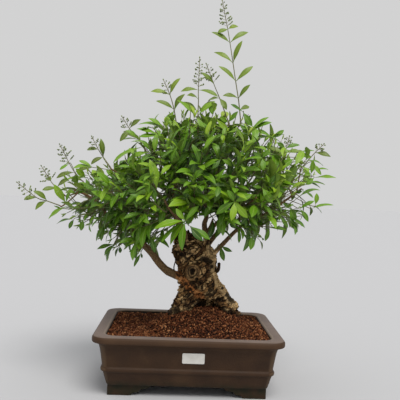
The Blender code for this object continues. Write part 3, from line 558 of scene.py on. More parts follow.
label = {
    "size": (0.0355, 0.0175),
    "corner": 0.0022,
    "leastCorner": 0.0004,
    "bow": 0.00012,
    # from its back over the edge to its face, as (inset, lift) in mm
    "rings": inMetres([(0, -0.3), (0, 0.12), (0.2, 0.28), (1.2, 0.3), (4, 0.3), (6.5, 0.3)]),
}


def paperFinish():
    paper = Finish("labelPaper", Roughness=0.60, Specular_IOR_Level=0.35)
    fibre = paper.grain(900, 3)
    color = paper.mix(paper.grain(70, 2).between(0.35, 0.75), (220, 218, 212), (206, 203, 195))
    color = paper.mix(fibre.between(0.6, 0.8) * 0.3, color, (190, 187, 180))
    paper.bump(fibre, 0.0001, 0.3)
    return paper.dress(Base_Color=color)


def makeLabel(paper):
    # Rounded at its edges and bowed a little, where the flat CAD label lies
    low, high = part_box("blank_label")
    polygons = frame["nodes"]["blank_label"].data.polygons
    out = sum((polygon.normal for polygon in polygons if polygon.normal.y < -0.9), Vector()).normalized()
    across = Vector((1, 0, 0))
    rise = across.cross(out)
    middle = (low + high) / 2 - potMiddle
    width, height = label["size"]
    points = []
    for inset, lift in label["rings"]:
        corner = max(label["corner"] - inset, label["leastCorner"])
        outline = roundedRectangle(width / 2 - inset, height / 2 - inset, corner, 6)
        for x, y in outline:
            bow = label["bow"] * math.cos(math.pi * x / width)
            points.append(middle + across * x + rise * y + out * (lift + bow))
    count = len(outline)
    faces = wallFaces(len(label["rings"]), count)
    faces += [tuple(reversed(range(count))), tuple(range(len(points) - count, len(points)))]
    sheet = Gather()
    sheet.add(points, faces, (0, 0, 0, 1))
    sheet.piece("blankLabel", paper, "label", ["blank_label"], 40)


# Drainage mesh stays as it is in the frame, with a moulded finish

def dressDrainageMesh():
    plastic = Finish("drainagePlastic", Roughness=0.5)
    wear = plastic.grain(300, 3)
    color = plastic.ramp(wear, [(0.35, (28, 30, 28)), (0.65, (46, 48, 44))])
    plastic.bump(wear, 0.0002, 0.4)
    material = plastic.dress(Base_Color=color, Roughness=0.42 + 0.2 * wear)
    for side in ("left", "right"):
        node = frame["nodes"]["drainage_mesh_" + side]
        node.data.materials.clear()
        node.data.materials.append(material)


# Soil: a bed with loose granules over it

soil = {
    "level": 0.0928,
    "moundMiddle": (0.026, -0.012),
    "moundReach": (0.106, 0.092),
    "moundRise": 0.0358,
    "moundSteepness": 1.15,
    "crumbHeight": 0.0022,
    "crumbsPerMetre": 70,
    "wallInset": 0.0220,
    "bedSpacing": 0.0035,
    "bedSink": 0.0016,
    "bedBite": 0.0006,  # how far its foot reaches into the pot's wall
    "wallGap": 0.0008,
    "grainSpacing": 0.0028,
    "grainSize": (0.0016, 0.0027),  # half of a grain's length
    "grainLift": (-0.0007, 0.0013),
    "grainTone": (0.44, 0.42),  # middle and spread, from dark (0) to light (1)
    "spareGrains": 0.20,  # share of places with a second grain on top
}


def soilHeight(x, y):
    across = (x - soil["moundMiddle"][0]) / soil["moundReach"][0]
    along = (y - soil["moundMiddle"][1]) / soil["moundReach"][1]
    dome = max(0.0, 1 - across ** 2 - along ** 2) ** soil["moundSteepness"]
    crumbs = soil["crumbHeight"] * noise.noise(Vector((x, y, 0)) * soil["crumbsPerMetre"])
    return soil["level"] + soil["moundRise"] * dome + crumbs


def soilFinish():
    grit = Finish("akadama", Roughness=0.93, Specular_IOR_Level=0.2)
    tone, warmth, _, depth = grit.marks()
    color = grit.ramp(tone, [
        (0.00, (24, 11, 6)), (0.30, (68, 36, 20)), (0.60, (106, 60, 35)), (0.85, (138, 86, 52)),
        (1.00, (170, 118, 78))])
    color = grit.mix(warmth * 0.40, color, (108, 55, 26))
    dust = grit.grain(900, 3)
    color = grit.mix(dust.between(0.50, 0.75) * 0.30, color, (138, 92, 62))
    # painted shade: the fourth mark darkens the bed, seen between the grains, nearly to black
    color = grit.mix(depth, color, (26, 14, 9))
    grit.bump(dust + grit.grain(2600, 2) * 0.5, 0.0006, 0.8)
    return grit.dress(Base_Color=color)


def makeSoilBed(grit):
    # The closed bed under the granules, painted nearly black as the shade between them
    halfX, halfY = (half - soil["wallInset"] for half in pot["half"])
    countX, countY = (round(2 * half / soil["bedSpacing"]) for half in (halfX, halfY))
    bm = bmesh.new()
    bmesh.ops.create_grid(bm, x_segments=countX, y_segments=countY, size=1)
    for vert in bm.verts:
        vert.co.x *= halfX
        vert.co.y *= halfY
        vert.co.z = soilHeight(vert.co.x, vert.co.y) - soil["bedSink"]
    skirt = bmesh.ops.extrude_face_region(bm, geom=bm.faces[:])
    wallFoot, footHeight = pot["inside"][-2]
    inwards = wallFoot - soil["wallInset"] + soil["bedBite"]
    for item in skirt["geom"]:
        if isinstance(item, bmesh.types.BMVert):
            item.co.x -= math.copysign(inwards * abs(item.co.x) / halfX, item.co.x)
            item.co.y -= math.copysign(inwards * abs(item.co.y) / halfY, item.co.y)
            item.co.z = footHeight
    bmesh.ops.recalc_face_normals(bm, faces=bm.faces)
    bed = meshOf(bm, "soilBed")
    # its fourth mark paints the bed nearly black as shade between the grains
    setMarks(bed.data, [(0.2, 0.5, 0, 0.9)] * len(bed.data.vertices))
    settle(bed, grit, "soil", ["soil"], 60)


def makeGranules(grit, trunkTree):
    # Crushed, angular grains laid over the bed, clear of the trunk
    rng = random.Random("granules")
    bm = bmesh.new()
    bmesh.ops.create_icosphere(bm, subdivisions=1, radius=1)
    corners = [vert.co.copy() for vert in bm.verts]
    faces = [tuple(vert.index for vert in face.verts) for face in bm.faces]
    bm.free()
    halfX, halfY = (half - soil["wallInset"] - soil["wallGap"] for half in pot["half"])
    step = soil["grainSpacing"]
    grains = [Gather(), Gather()]
    for row in range(math.ceil(2 * halfY / step)):
        for column in range(math.ceil(2 * halfX / step)):
            for layer in range(2 if rng.random() < soil["spareGrains"] else 1):
                x = -halfX + step * (column + 0.5 * (row % 2) + rng.uniform(-0.4, 0.4))
                y = -halfY + step * (row + rng.uniform(-0.4, 0.4))
                x, y = (max(-half, min(half, place)) for half, place in ((halfX, x), (halfY, y)))
                size = rng.uniform(*soil["grainSize"]) * rng.choice((0.75, 1.0, 1.0, 1.15))
                lift = rng.uniform(*soil["grainLift"]) + layer * size * 0.9
                middle = Vector((x, y, soilHeight(x, y) + lift))
                nearest, outward, _, away = trunkTree.find_nearest(middle + potMiddle)
                if away < size * 0.6 or (middle + potMiddle - nearest).dot(outward) < 0:
                    continue
                turn = Quaternion([rng.gauss(0, 1) for _ in range(4)]).normalized()
                squash = Vector((size, size * rng.uniform(0.45, 0.75), size * rng.uniform(0.4, 0.65)))
                points = [middle + turn @ (corner * squash * rng.uniform(0.80, 1.12)) for corner in corners]
                tone = clamp(rng.gauss(*soil["grainTone"]))
                grains[row % 2].add(points, faces, (tone, rng.random(), 0, 0))
    for name, half in zip(("granulesA", "granulesB"), grains):
        half.piece(name, grit, "soil", (), 20)


# Wood: the old trunk, its boughs, and a twig to each shoot of the frame

wood = {
    # centre lines of the trunk's parts as (x, y, z, radius) in mm
    "limbs": inMetres([
        [(14, 2, 190, 28), (5, -2, 162, 22), (-6, -8, 138, 19), (-16, -12, 112, 18), (-20, -14, 82, 13)],
        [(-2, -4, 146, 16), (-14, -2, 127, 15.5), (-28, 4, 106, 12), (-38, 8, 86, 8)],
        [(22, 0, 190, 26), (38, -2, 169, 18.5), (55, -5, 152, 15), (70, -9, 140, 15),
         (76.5, -12, 122, 11.5), (78, -14, 86, 9)],
        [(56, 6, 148, 16), (68, 12, 128, 13), (78, 18, 106, 10), (84, 22, 86, 7)],
        [(-2, -8, 158, 13), (20, -10, 161, 16), (42, -9, 158, 14), (57, -8, 150, 11)],
        [(16, 12, 185, 28), (24, 22, 155, 27), (28, 32, 125, 25), (30, 40, 84, 18)],
        [(6, 24, 142, 18), (-12, 38, 118, 13), (-28, 50, 88, 8)],
        [(14, 4, 176, 35), (11, 3, 195, 34), (5.5, 3, 213, 30.5), (-4, 4, 231, 28.5), (-10, 5, 243, 25),
         (-14, 6, 255, 15)],
        [(24, -2, 186, 22), (31, -4, 204, 15), (34, -4, 220, 10), (31, -3, 236, 7.5)],
    ]),
    "deadReach": 0.0065,  # bark this near a dead stub or twig is dead too
    "voxel": 0.0013,
    "smoothing": (0.6, 41),
    "skin": 0.0006,
    "relief": 0.0042,
    "ridges": (42, 42, 24),  # per metre
    "lumps": (95, 95, 70),
    "buriedRelief": 0.15,
    "knot": (0.0025, 0.1935),
    "knotRadius": 0.0085,
    "knotDepth": 0.006,
    "knotRim": 0.004,
    # small hollows in the front of the bark, each painted dark as the shade in it, as (x, z, radius, depth)
    # in mm
    "pits": inMetres([
        (11.3, 181.7, 3.4, 6), (21.1, 216.5, 4.6, 4), (28, 214, 5.6, 5.5), (34.5, 211, 4.6, 5),
        (37.5, 203, 3.6, 4), (35.2, 162.1, 4.2, 4.5), (-16, 222, 4, 3), (1, 173, 2.8, 3),
        (11, 165.5, 2.6, 2.5), (57, 166, 2.6, 2), (64, 154, 2.4, 2),
    ]),
    "cave": (0.030, 0.1345, 0.025, 0.0085),  # painted shadow between the legs: x, z and half sizes
    "knotFolds": 0.0016,
    "slant": 35,  # degrees that the bark's plates lean to the right as they rise
    "plates": (62, 90, 150),  # per metre
    "plateSteps": 0.0034,
    "plateCrack": 0.0026,
    "strands": (110, 160, 420),
    "strandDepth": 0.0010,
    "creases": (52, 52, 84),
    "creaseDepth": 0.0026,
    "flakes": (260, 260, 380),
    "flakeCrack": 0.0009,
    # lines on the front that are smooth and pale, or rusty, as (x, z) ends and half width
    "smoothSkin": [((0.033, 0.231), (0.043, 0.201), 0.008), ((0.043, 0.201), (0.052, 0.176), 0.009),
                   ((0.054, 0.174), (0.078, 0.142), 0.009)],
    "rustySkin": [((-0.022, 0.188), (-0.009, 0.174), 0.0060), ((-0.009, 0.174), (0.004, 0.163), 0.0065),
                  ((0.004, 0.163), (0.022, 0.150), 0.0060)],
}

# Boughs: radius at each end, and the centre line, in mm
boughs = inMetres({
    "left": (7.8, 5.2, [
        (-8, -4, 179), (-28, -8, 186), (-47, -12, 197), (-70, -16, 224), (-87, -18, 241),
        (-97, -20, 257)]),
    "leftUp": (4.2, 1.7, [
        (-95, -20, 254), (-96, -16, 286), (-98, -8, 312), (-92, -2, 345), (-80, 4, 380), (-70, 10, 408)]),
    "leftOut": (4.2, 1.6, [
        (-93, -19, 250), (-108, -22, 263), (-140, -26, 277), (-160, -22, 302), (-184, -16, 318),
        (-208, -10, 326)]),
    "leader": (6.8, 1.8, [
        (33, -4, 222), (28, -2, 240), (25, -1, 257), (22, 0, 275), (25, 1, 292), (22, 4, 330),
        (32, 6, 375), (44, 6, 415)]),
    "right": (4.8, 1.6, [
        (34, -4, 216), (44, -6, 229), (57, -8, 244), (73, -8, 262), (93, -6, 280), (116, -4, 291),
        (140, -2, 305), (168, 2, 326), (194, 6, 346)]),
    "backLeft": (6, 1.8, [
        (-10, 10, 236), (-20, 26, 262), (-34, 48, 295), (-44, 68, 334), (-46, 80, 372)]),
    "backSide": (3, 1.5, [(-34, 48, 294), (-66, 66, 306), (-100, 84, 318), (-130, 96, 328)]),
    "front": (4.6, 1.6, [
        (-8, -10, 240), (-14, -36, 264), (-26, -66, 286), (-40, -96, 302), (-50, -118, 318)]),
    "backRight": (4.6, 1.6, [
        (28, -2, 238), (50, 22, 264), (74, 50, 290), (92, 80, 312), (104, 104, 328)]),
    "frontRight": (3.8, 1.5, [
        (26, -2, 256), (44, -26, 282), (66, -56, 300), (86, -86, 314), (98, -108, 326)]),
    "topLeft": (5, 1.7, [(-14, 5, 246), (-26, 0, 280), (-34, -4, 322), (-28, -8, 368), (-16, -8, 408)]),
    "deadTwig": (2.4, 1.2, [(26, -3, 262), (31, -5, 272), (36, -6, 286)]),
    "deadStub": (3.2, 3, [(43, -8, 191), (49, -10, 197), (50, -10, 208.5)]),
    "sideTwig": (1.2, 0.8, [(-27, -9, 189), (-29, -12, 199), (-25.5, -14, 215)]),
})


def scaled(point, perMetre):
    return Vector(place * count for place, count in zip(point, perMetre))


def nearZero(value, width):
    # 1 where the value is 0, falling off within the width
    return math.exp(-(value / width) ** 2)


def knotAway(point):
    # How far from the middle of the knot, in its radii; it is uneven and taller than wide
    near = point + noise.noise_vector(point * 60) * 0.0035
    across, rise = near.x - wood["knot"][0], near.z - wood["knot"][1]
    return math.hypot(1.12 * across, 0.86 * rise) / wood["knotRadius"]


def barkForm(point):
    # The same ridges, lumps and knot as the frame's trunk
    ridge = 1 - 2.4 * abs(noise.noise(scaled(point, wood["ridges"])))
    lump = noise.noise(scaled(point, wood["lumps"]))
    aboveSoil = point.z - soilHeight(point.x, point.y)
    bared = min(1.0, max(wood["buriedRelief"], 0.7 + aboveSoil / 0.010))
    relief = wood["relief"] * bared * (ridge - 0.4 + 0.7 * lump)
    if point.y < 0:
        away = knotAway(point)
        relief += wood["knotRim"] * nearZero(away - 1.25, 0.35)
        relief -= wood["knotDepth"] * math.exp(-(away / 0.75) ** 4)
    return relief


def nearSkin(point, lines):
    # 1 on a patch of skin on the trunk's front, 0 off it
    if point.y > 0.012:
        return 0.0
    place = Vector((point.x, point.z)) + noise.noise_vector(point * 110).xz * 0.003
    best = min(besideLine(place, Vector(start), Vector(end))[0] / half for start, end, half in lines)
    return clamp((1.35 - best) / 0.7)


def barkSkin(point):
    # How far the old bark stands out beyond its form, and the marks for its finish: how dark it is
    # (painted shade in cracks, pits, the knot and between the legs, and its own darkening where damp near
    # the soil), its plate's tone, and its colour from pale (0) over plain (0.5) to rusty (1)
    warped = point + noise.noise_vector(point * 30) * 0.0100 + noise.noise_vector(point * 120) * 0.0026
    slanted = Quaternion((0, 1, 0), math.radians(wood["slant"])) @ warped
    gaps, cores = noise.voronoi(scaled(slanted, wood["plates"]))
    own = 0.5 + 0.5 * noise.cell(cores[0] * 5.1)
    plate = nearZero(gaps[1] - gaps[0], 0.13)
    flakeGaps, _ = noise.voronoi(scaled(slanted, wood["flakes"]))
    flake = nearZero(flakeGaps[1] - flakeGaps[0], 0.20)
    crease = nearZero(noise.noise(scaled(warped, wood["creases"])), 0.050)
    strand = nearZero(noise.noise(scaled(slanted, wood["strands"])), 0.07)
    pale, rusty = nearSkin(point, wood["smoothSkin"]), nearSkin(point, wood["rustySkin"])
    rough, knot, fold = 1 - 0.50 * pale, 0.0, 0.0
    if point.y < 0:
        away = knotAway(point)
        knot = clamp(2.1 - away)
        fold = knot * math.cos(away * 9.5)
        rough *= 1 - 0.7 * knot
    out = rough * (wood["plateSteps"] * (own - 0.55) - wood["plateCrack"] * plate
                   - wood["creaseDepth"] * crease - wood["flakeCrack"] * flake)
    out += wood["knotFolds"] * fold - wood["strandDepth"] * strand
    # painted shade in the plates' cracks, the creases, flake edges, strands and the troughs of the knot's
    # folds
    darkBarkAndPaintedShade = max(rough * max(0.85 * plate, crease, 0.40 * flake), 0.45 * strand, -0.75 * fold)
    damp = 1 - (point.z - soilHeight(point.x, point.y)) / 0.030
    darkBarkAndPaintedShade = max(darkBarkAndPaintedShade, 0.75 * damp * (1 - pale) * (0.8 + 1.5 * noise.noise(point * 70)))
    if point.y < 0:
        # each pit is sunk and painted dark: painted shade in the hollow
        for x, z, radius, depth in wood["pits"]:
            pit = math.exp(-(math.hypot(point.x - x, point.z - z) / radius) ** 4)
            out -= depth * pit
            darkBarkAndPaintedShade = max(darkBarkAndPaintedShade, pit)
        # painted shade in the knot's hollow
        darkBarkAndPaintedShade = max(darkBarkAndPaintedShade, 0.4 * math.exp(-(away / 0.75) ** 4))
        # painted shadow between the legs, under the trunk's brow
        x, z, halfX, halfZ = wood["cave"]
        darkBarkAndPaintedShade = max(darkBarkAndPaintedShade, math.exp(-math.hypot((point.x - x) / halfX, (point.z - z) / halfZ) ** 6))
    return out, darkBarkAndPaintedShade, own, 0.5 + 0.5 * rusty - 0.5 * max(pale, 0.4 * knot)


def oldness(point):
    # 1 on the trunk's old bark, 0 out on the boughs
    best = 1e9
    for limb in wood["limbs"]:
        for (*start, thick), (*end, thin) in zip(limb, limb[1:]):
            away, share = besideLine(point, Vector(start), Vector(end))
            best = min(best, away - (thick + (thin - thick) * share))
    return 1 - clamp((best - 0.004) / 0.006)


def makeTrunk():
    limbs = []
    for limb in wood["limbs"]:
        line = [Vector(knot[:3]) for knot in limb]
        limbs.append(meshObject("limb", *tubeShape(line, [knot[3] for knot in limb], 16)))
    trunk = joined(limbs[0], limbs[1:])
    skin = trunk.modifiers.new("skin", "REMESH")
    skin.mode = "VOXEL"
    skin.voxel_size = wood["voxel"]
    smooth = trunk.modifiers.new("smooth", "SMOOTH")
    smooth.factor, smooth.iterations = wood["smoothing"]
    trunk = applied(trunk)
    moved = [vert.co + vert.normal * (barkForm(vert.co) + wood["skin"] + barkSkin(vert.co)[0])
             for vert in trunk.data.vertices]
    for vert, place in zip(trunk.data.vertices, moved):
        vert.co = place
    return trunk


def branchTube(name, line, radii, sides, perSpan):
    # A bough or twig with the small swellings that wood has
    def wobble(point):
        return 0.10 * noise.noise(point * 90) + 0.07 * noise.noise(point * 260)

    return meshObject(name, *roundedTube(line, radii, sides, perSpan, wobble))


def makeWood(trunk, twigs, bark):
    limbs = [branchTube(name, line, taper(thick, thin, len(line)), 12, 5)
             for name, (thick, thin, line) in boughs.items()]
    limbs += [branchTube("twig", line, radii, 7, 4) for line, radii in twigs]
    whole = joined(trunk, limbs)
    whole.name = "wholeWood"
    marks = []
    dead = [Vector(point) for name in ("deadStub", "sideTwig") for point in boughs[name][2][1:]]
    for vert in whole.data.vertices:
        if min((vert.co - place).length for place in dead) < wood["deadReach"]:
            marks.append((1, 0.60, 0.3, 0.5))
            continue
        old = oldness(vert.co)
        _, darkBarkAndPaintedShade, tone, tint = barkSkin(vert.co) if old > 0 else (0, 0, 0.5, 0.5)
        # painted shade where the trunk's form sinks in, as in the knot's hollow
        paintedHollowShade = max(0.0, -barkForm(vert.co) / wood["relief"] - 0.3) if old > 0 else 0
        marks.append((old, min(1.0, darkBarkAndPaintedShade + 0.6 * paintedHollowShade), tone, tint))
    setMarks(whole.data, marks)
    return settle(whole, bark, "bark", ["wood"], 50)


def barkFinish():
    bark = Finish("bark", Roughness=0.88, Specular_IOR_Level=0.2)
    old, darkBarkAndPaintedShade, tone, tint = bark.marks()
    place = bark.place()
    broad = bark.grain(34, 3)
    fine = bark.grain(420, 4)
    streak = bark.grain(150, 3, bark.stretched(place, (1, 1, 0.35)))
    plates = bark.ramp(tone * 0.42 + fine * 0.42 + streak * 0.26, [
        (0.28, (45, 31, 19)), (0.43, (95, 66, 38)), (0.58, (158, 118, 72)), (0.75, (232, 194, 138))])
    plates = bark.mix(broad.between(0.54, 0.72) * 0.16, plates, (80, 66, 36))
    plates = bark.mix(tint.between(0.55, 0.90) * 0.80, plates, (200, 128, 70))
    plates = bark.mix(tint.between(0.45, 0.05) * 0.65, plates, (220, 187, 136))
    wrinkles = abs(bark.grain(190, 2, bark.stretched(place, (1, 1, 1.8))) - 0.5)
    plates = bark.mix(wrinkles.between(0.05, 0.01) * 0.60, plates, (44, 33, 22))
    # painted shade in the bark's cracks, pits, knot, hollows and between the legs, with the bark's own dark
    # where it is damp or dead
    plates = bark.mix(darkBarkAndPaintedShade.between(0.15, 0.75) * 0.92, plates, (17, 13, 9))
    young = bark.ramp(fine, [(0.30, (82, 63, 42)), (0.50, (112, 88, 60)), (0.72, (146, 119, 84))])
    lenticel = bark.cells(420, bark.stretched(place, (1, 1, 0.5)))
    young = bark.mix(lenticel.between(0.16, 0.06) * 0.6, young, (176, 156, 122))
    young = bark.mix(broad.between(0.50, 0.75) * 0.35, young, (84, 82, 48))
    bark.bump(fine + streak * 0.6 + bark.grain(1200, 2) * 0.3, 0.0010, 0.8)
    return bark.dress(Base_Color=bark.mix(old.between(0.15, 0.85), young, plates))


# Growth: the frame's shoots, found again by the rule that placed them

Leaf = namedtuple("Leaf", "base tip facing width arch")
Shoot = namedtuple("Shoot", "name nodes leaves panicle")
Growth = namedtuple("Growth", "point direction radius")

growth = {
    "twigSpacing": 0.010,
    "twigLeast": 0.012,
    "twigBend": 0.35,
    "twigShareOfBough": 0.75,
    "twigTip": 0.0011,
    "twigFlare": 0.010,
    "twigStraight": 0.003,
    "twigGap": 0.0004,
    "twigSteps": 2,
    "shootMiddle": (0, 0, 0.24),
    "shootRadius": (0.0011, 0.0006),
    "shootShifts": [
        (0, 0), (0.006, 0), (-0.006, 0), (0, 0.006), (0, -0.006), (0.010, 0.008), (-0.010, 0.008),
        (0.010, -0.008), (-0.010, -0.008), (0.018, 0), (-0.018, 0), (0.020, 0.014), (-0.020, 0.014),
    ],
    "leafLength": (0.034, 0.045),
    "leafWidthShare": 0.29,
    "youngLeafWidth": 0.29 * 0.036,
    "leafArch": 0.13,
    "leafAngle": 58,
    # turn round the stem, change of angle, share of length
    "leafWays": [
        (0, 0, 1.0), (16, 0, 1.0), (-16, 0, 1.0), (0, 16, 1.0), (0, -16, 1.0), (28, 10, 0.9),
        (-28, 10, 0.9), (28, -14, 0.85), (-28, -14, 0.85), (0, 24, 0.75), (0, -24, 0.75),
    ],
    "found": 0.0008,  # a place this near a node's skin is on it
}

crown = {
    "middle": (-0.002, 0.000),
    "reach": (0.228, 0.158),
    "top": 0.456,
    "topFall": 0.120,
    "bottom": 0.250,
    "skirt": 0.026,
    "shoots": 30,
    "pairs": 3,
    "shootLength": (0.056, 0.074),
    "sag": 0.10,
    "layers": (0.0, 0.62, 1.0, 0.28),
    "lifts": {3: 0.036, 11: 0.018, 19: 0.012, 27: 0.014},
    # three more, as (foot, tip)
    "added": [
        ((0.074, -0.052, 0.378), (0.104, -0.082, 0.426)),
        ((0.134, -0.050, 0.352), (0.182, -0.078, 0.390)),
        ((-0.040, 0.060, 0.402), (-0.058, 0.090, 0.456)),
    ],
}

goldenAngle = math.pi * (3 - math.sqrt(5))

# Flowering shoots in mm: the stem's nodes, the panicle's tip, and each leaf as its node and tip
floweringShoots = [
    ([(79, 0, 459), (76, 0, 481), (73, 0, 501), (67, 0, 531), (61, 0, 563), (54, 0, 599), (49, 0, 623)],
     (37, 0, 674),
     [(6, 31, -4, 615), (6, 68, 4, 630), (5, 20, -8, 616), (5, 87, 8, 622), (4, 26, 8, 583),
      (4, 75, -10, 602), (3, 35, -4, 556), (3, 97, 0, 560), (2, 44, -10, 503), (2, 92, -12, 525),
      (1, 94, 10, 490)]),
    ([(3, -10, 440), (2, -10, 472), (2, -10, 494), (1, -10, 511)], (1, -10, 569),
     [(3, -30, -14, 506), (3, 36, -16, 500), (2, -19, -26, 498), (1, 31, -18, 492), (1, -27, -4, 490)]),
    ([(59, 22, 461), (50, 22, 483), (41, 22, 504), (30, 22, 528)], (14, 24, 566),
     [(3, 4, 16, 548), (2, 54, 14, 482), (2, 20, 40, 500)]),
    ([(-34, -20, 444), (-40, -20, 473), (-48, -20, 498)], (-61, -20, 525),
     [(2, -82, -24, 502), (2, -31, -24, 528), (1, -72, -26, 486), (1, -22, -30, 500)]),
    ([(-84, 10, 398), (-101, 10, 421), (-118, 10, 440)], (-133, 10, 462),
     [(2, -98, 0, 456), (2, -134, 4, 416), (1, -130, 14, 436)]),
    ([(-146, -10, 368), (-160, -10, 386), (-169, -10, 399)], (-182, -10, 422),
     [(1, -165, -16, 418), (2, -190, -4, 398), (1, -180, -18, 372)]),
    ([(-198, 6, 344), (-211, 6, 358), (-221, 6, 373)], (-240, 6, 407),
     [(1, -242, 0, 346), (1, -180, 0, 368), (2, -232, 24, 368)]),
    ([(-226, -6, 318), (-239, -6, 329), (-249, -6, 339)], (-268, -6, 367),
     [(1, -216, -18, 344), (1, -262, -18, 324), (2, -262, 14, 346)]),
    ([(-228, -30, 299), (-250, -30, 306), (-268, -30, 311)], (-303, -28, 336),
     [(2, -288, -36, 307), (1, -268, -36, 290), (1, -272, -40, 322)]),
    ([(192, 0, 384), (204, 0, 399), (214, 0, 411)], (230, 0, 428),
     [(1, 172, -8, 412), (2, 240, -12, 404), (1, 216, 22, 386)]),
    ([(158, 26, 394), (164, 26, 410), (167, 26, 420)], (172, 26, 442),
     [(1, 130, 30, 418), (1, 196, 32, 414)]),
]


def boughGrowths(thick, thin, points):
    # Places along a bough where a twig can spring from
    found = []
    radii = taper(thick, thin, len(points))
    for start, end, thick, thin in zip(points, points[1:], radii, radii[1:]):
        step = end - start
        count = max(2, round(step.length / growth["twigSpacing"]))
        for share in (k / count for k in range(count)):
            found.append(Growth(start + step * share, step.normalized(), thick + (thin - thick) * share))
    return found


def twigTo(base, direction, growths):
    # The line and radii of a twig from the wood that best leads to a shoot's base
    def reach(place):
        way = base - place.point
        if way.length < growth["twigLeast"]:
            return 1.0
        return way.length * (1.6 - 0.6 * place.direction.dot(way.normalized()))

    source = min(growths, key=reach)
    way = base - source.point
    bend = way.length * growth["twigBend"]
    leaving = (source.direction + 1.2 * way.normalized()).normalized()
    line = interpolate_bezier(
        source.point, source.point + leaving * bend, base - direction * bend,
        base - direction * growth["twigStraight"], growth["twigSteps"] + 1)
    line.append(base)
    tip = growth["twigTip"]
    thick = min(growth["twigShareOfBough"] * source.radius, tip + growth["twigFlare"] * way.length)
    return line, taper(max(thick, tip), tip, len(line))


def twigGrowths(line, radii):
    return [Growth(start.lerp(end, share), (end - start).normalized(), radius)
            for start, end, radius in zip(line[:-2], line[1:-1], radii) for share in (0.25, 0.75)]


def shiftedLines(line):
    way = (line[-1] - line[0]).normalized()
    across = way.cross(up).normalized() if abs(way.z) < 0.95 else Vector((1, 0, 0))
    upward = across.cross(way)
    for aside, above in growth["shootShifts"]:
        yield [point + across * aside + upward * above for point in line]


def crownShell(share):
    # The crown's top and bottom at this share of its reach
    dip = math.sin(math.pi * min(1, share * 1.15))
    return (crown["top"] - crown["topFall"] * share ** 1.9,
            crown["bottom"] + crown["skirt"] * (2.4 * share ** 3 - dip))


def leafyShoots():
    ends = []
    for i in range(crown["shoots"]):
        rng = random.Random(f"leafy shoot {i}")
        share = math.sqrt((i + 0.6) / crown["shoots"])
        bearing = i * goldenAngle + 0.5
        outward = Vector((math.cos(bearing), math.sin(bearing) * 0.8, 0)).normalized()
        layer = crown["layers"][i % len(crown["layers"])]
        top, bottom = crownShell(share)
        tip = Vector((
            crown["middle"][0] + crown["reach"][0] * share * math.cos(bearing),
            crown["middle"][1] + crown["reach"][1] * share * math.sin(bearing),
            top + (bottom - top) * layer + crown["lifts"].get(i + 1, 0)))
        rise = 1.15 - 1.5 * layer - 0.45 * share
        way = (outward * (0.35 + 0.9 * share) + up * rise).normalized()
        ends.append((tip - way * rng.uniform(*crown["shootLength"]), tip))
    ends += [(Vector(base), Vector(tip)) for base, tip in crown["added"]]
    return [Shoot(f"leafy_shoot_{i:02d}", saggingLine(base, tip), None, None)
            for i, (base, tip) in enumerate(ends, 1)]


def saggingLine(base, tip):
    way = (tip - base).normalized()
    sag = up.cross(way).cross(way) * (tip - base).length * crown["sag"]
    return bentLine(base, base.lerp(tip, 0.5) - sag, tip, crown["pairs"])


def bentLine(base, middle, tip, pairs):
    # A stem's foot and the node of each pair of leaves, bent towards its middle
    return interpolate_bezier(base, base.lerp(middle, 0.7), tip.lerp(middle, 0.7), tip, pairs + 1)


def floweringLines():
    return [Shoot(f"flowering_shoot_{i:02d}", [Vector(inMetres(node)) for node in nodes], leaves,
                  Vector(inMetres(tip)))
            for i, (nodes, tip, leaves) in enumerate(floweringShoots, 1)]


def nodeTree(name):
    mesh = frame["nodes"][name].data
    points = [vert.co - potMiddle for vert in mesh.vertices]
    return BVHTree.FromPolygons(points, [tuple(polygon.vertices) for polygon in mesh.polygons])


def liesOn(tree, point):
    return tree.find_nearest(point)[3] < growth["found"]


def frameGrowth(trees):
    # Each of the frame's shoots at its found place, the twigs to them, and where more can grow
    growths = []
    for name, (thick, thin, line) in boughs.items():
        if not name.startswith("dead"):
            growths += boughGrowths(thick, thin, [Vector(point) for point in line])
    middle = Vector(growth["shootMiddle"])
    placed, twigs = [], []
    shoots = floweringLines() + leafyShoots()
    for shoot in sorted(shoots, key=lambda shoot: (not shoot.panicle, (shoot.nodes[0] - middle).length)):
        tree = trees[shoot.name]
        lines = [shoot.nodes] if shoot.panicle else shiftedLines(shoot.nodes)
        line = next((line for line in lines if liesOn(tree, line[0]) and liesOn(tree, line[-1])), None)
        if line is None:
            print("not found:", shoot.name)
            continue
        direction = (line[1] - line[0]).normalized()
        twig, radii = twigTo(line[0] - direction * growth["twigGap"], direction, growths)
        placed.append(shoot._replace(nodes=line))
        twigs.append((twig, radii))
        growths += twigGrowths(twig, radii)
    return placed, twigs, growths


def placedLeafChoices(base, tip, rng):
    facing = Vector((rng.uniform(-0.25, 0.25), -0.75, 0.6))
    for shift in (0, -0.006, 0.006, -0.012, 0.012):
        end = tip + Vector((0, shift, 0))
        yield Leaf(base, end, facing, growth["youngLeafWidth"], growth["leafArch"] * rng.uniform(0.6, 1.1))


def grownLeafChoices(base, tangent, side, length, outward, rng):
    droop = rng.uniform(-0.30, 0.05)
    facing = up * 0.9 + tangent * 0.35 + outward * 0.25
    facing += Vector(rng.uniform(-0.22, 0.22) for _ in range(3))
    for turn, lift, share in growth["leafWays"]:
        about = Quaternion(tangent, math.radians(turn)) @ side
        angle = math.radians(growth["leafAngle"] + lift)
        way = tangent * math.cos(angle) + about * math.sin(angle) + up * droop
        size = length * share
        tip = base + way.normalized() * size
        yield Leaf(base, tip, facing, size * growth["leafWidthShare"], growth["leafArch"])


def pairAt(nodes, k, spin):
    # The stem's direction at a node, and the side that one leaf of its pair takes
    tangent = (nodes[k] - nodes[k - 1]).normalized()
    flat = tangent.cross(up)
    flat = flat.normalized() if flat.length > 0.2 else Vector((1, 0, 0))
    return tangent, Quaternion(tangent, spin + k * math.pi / 2) @ flat


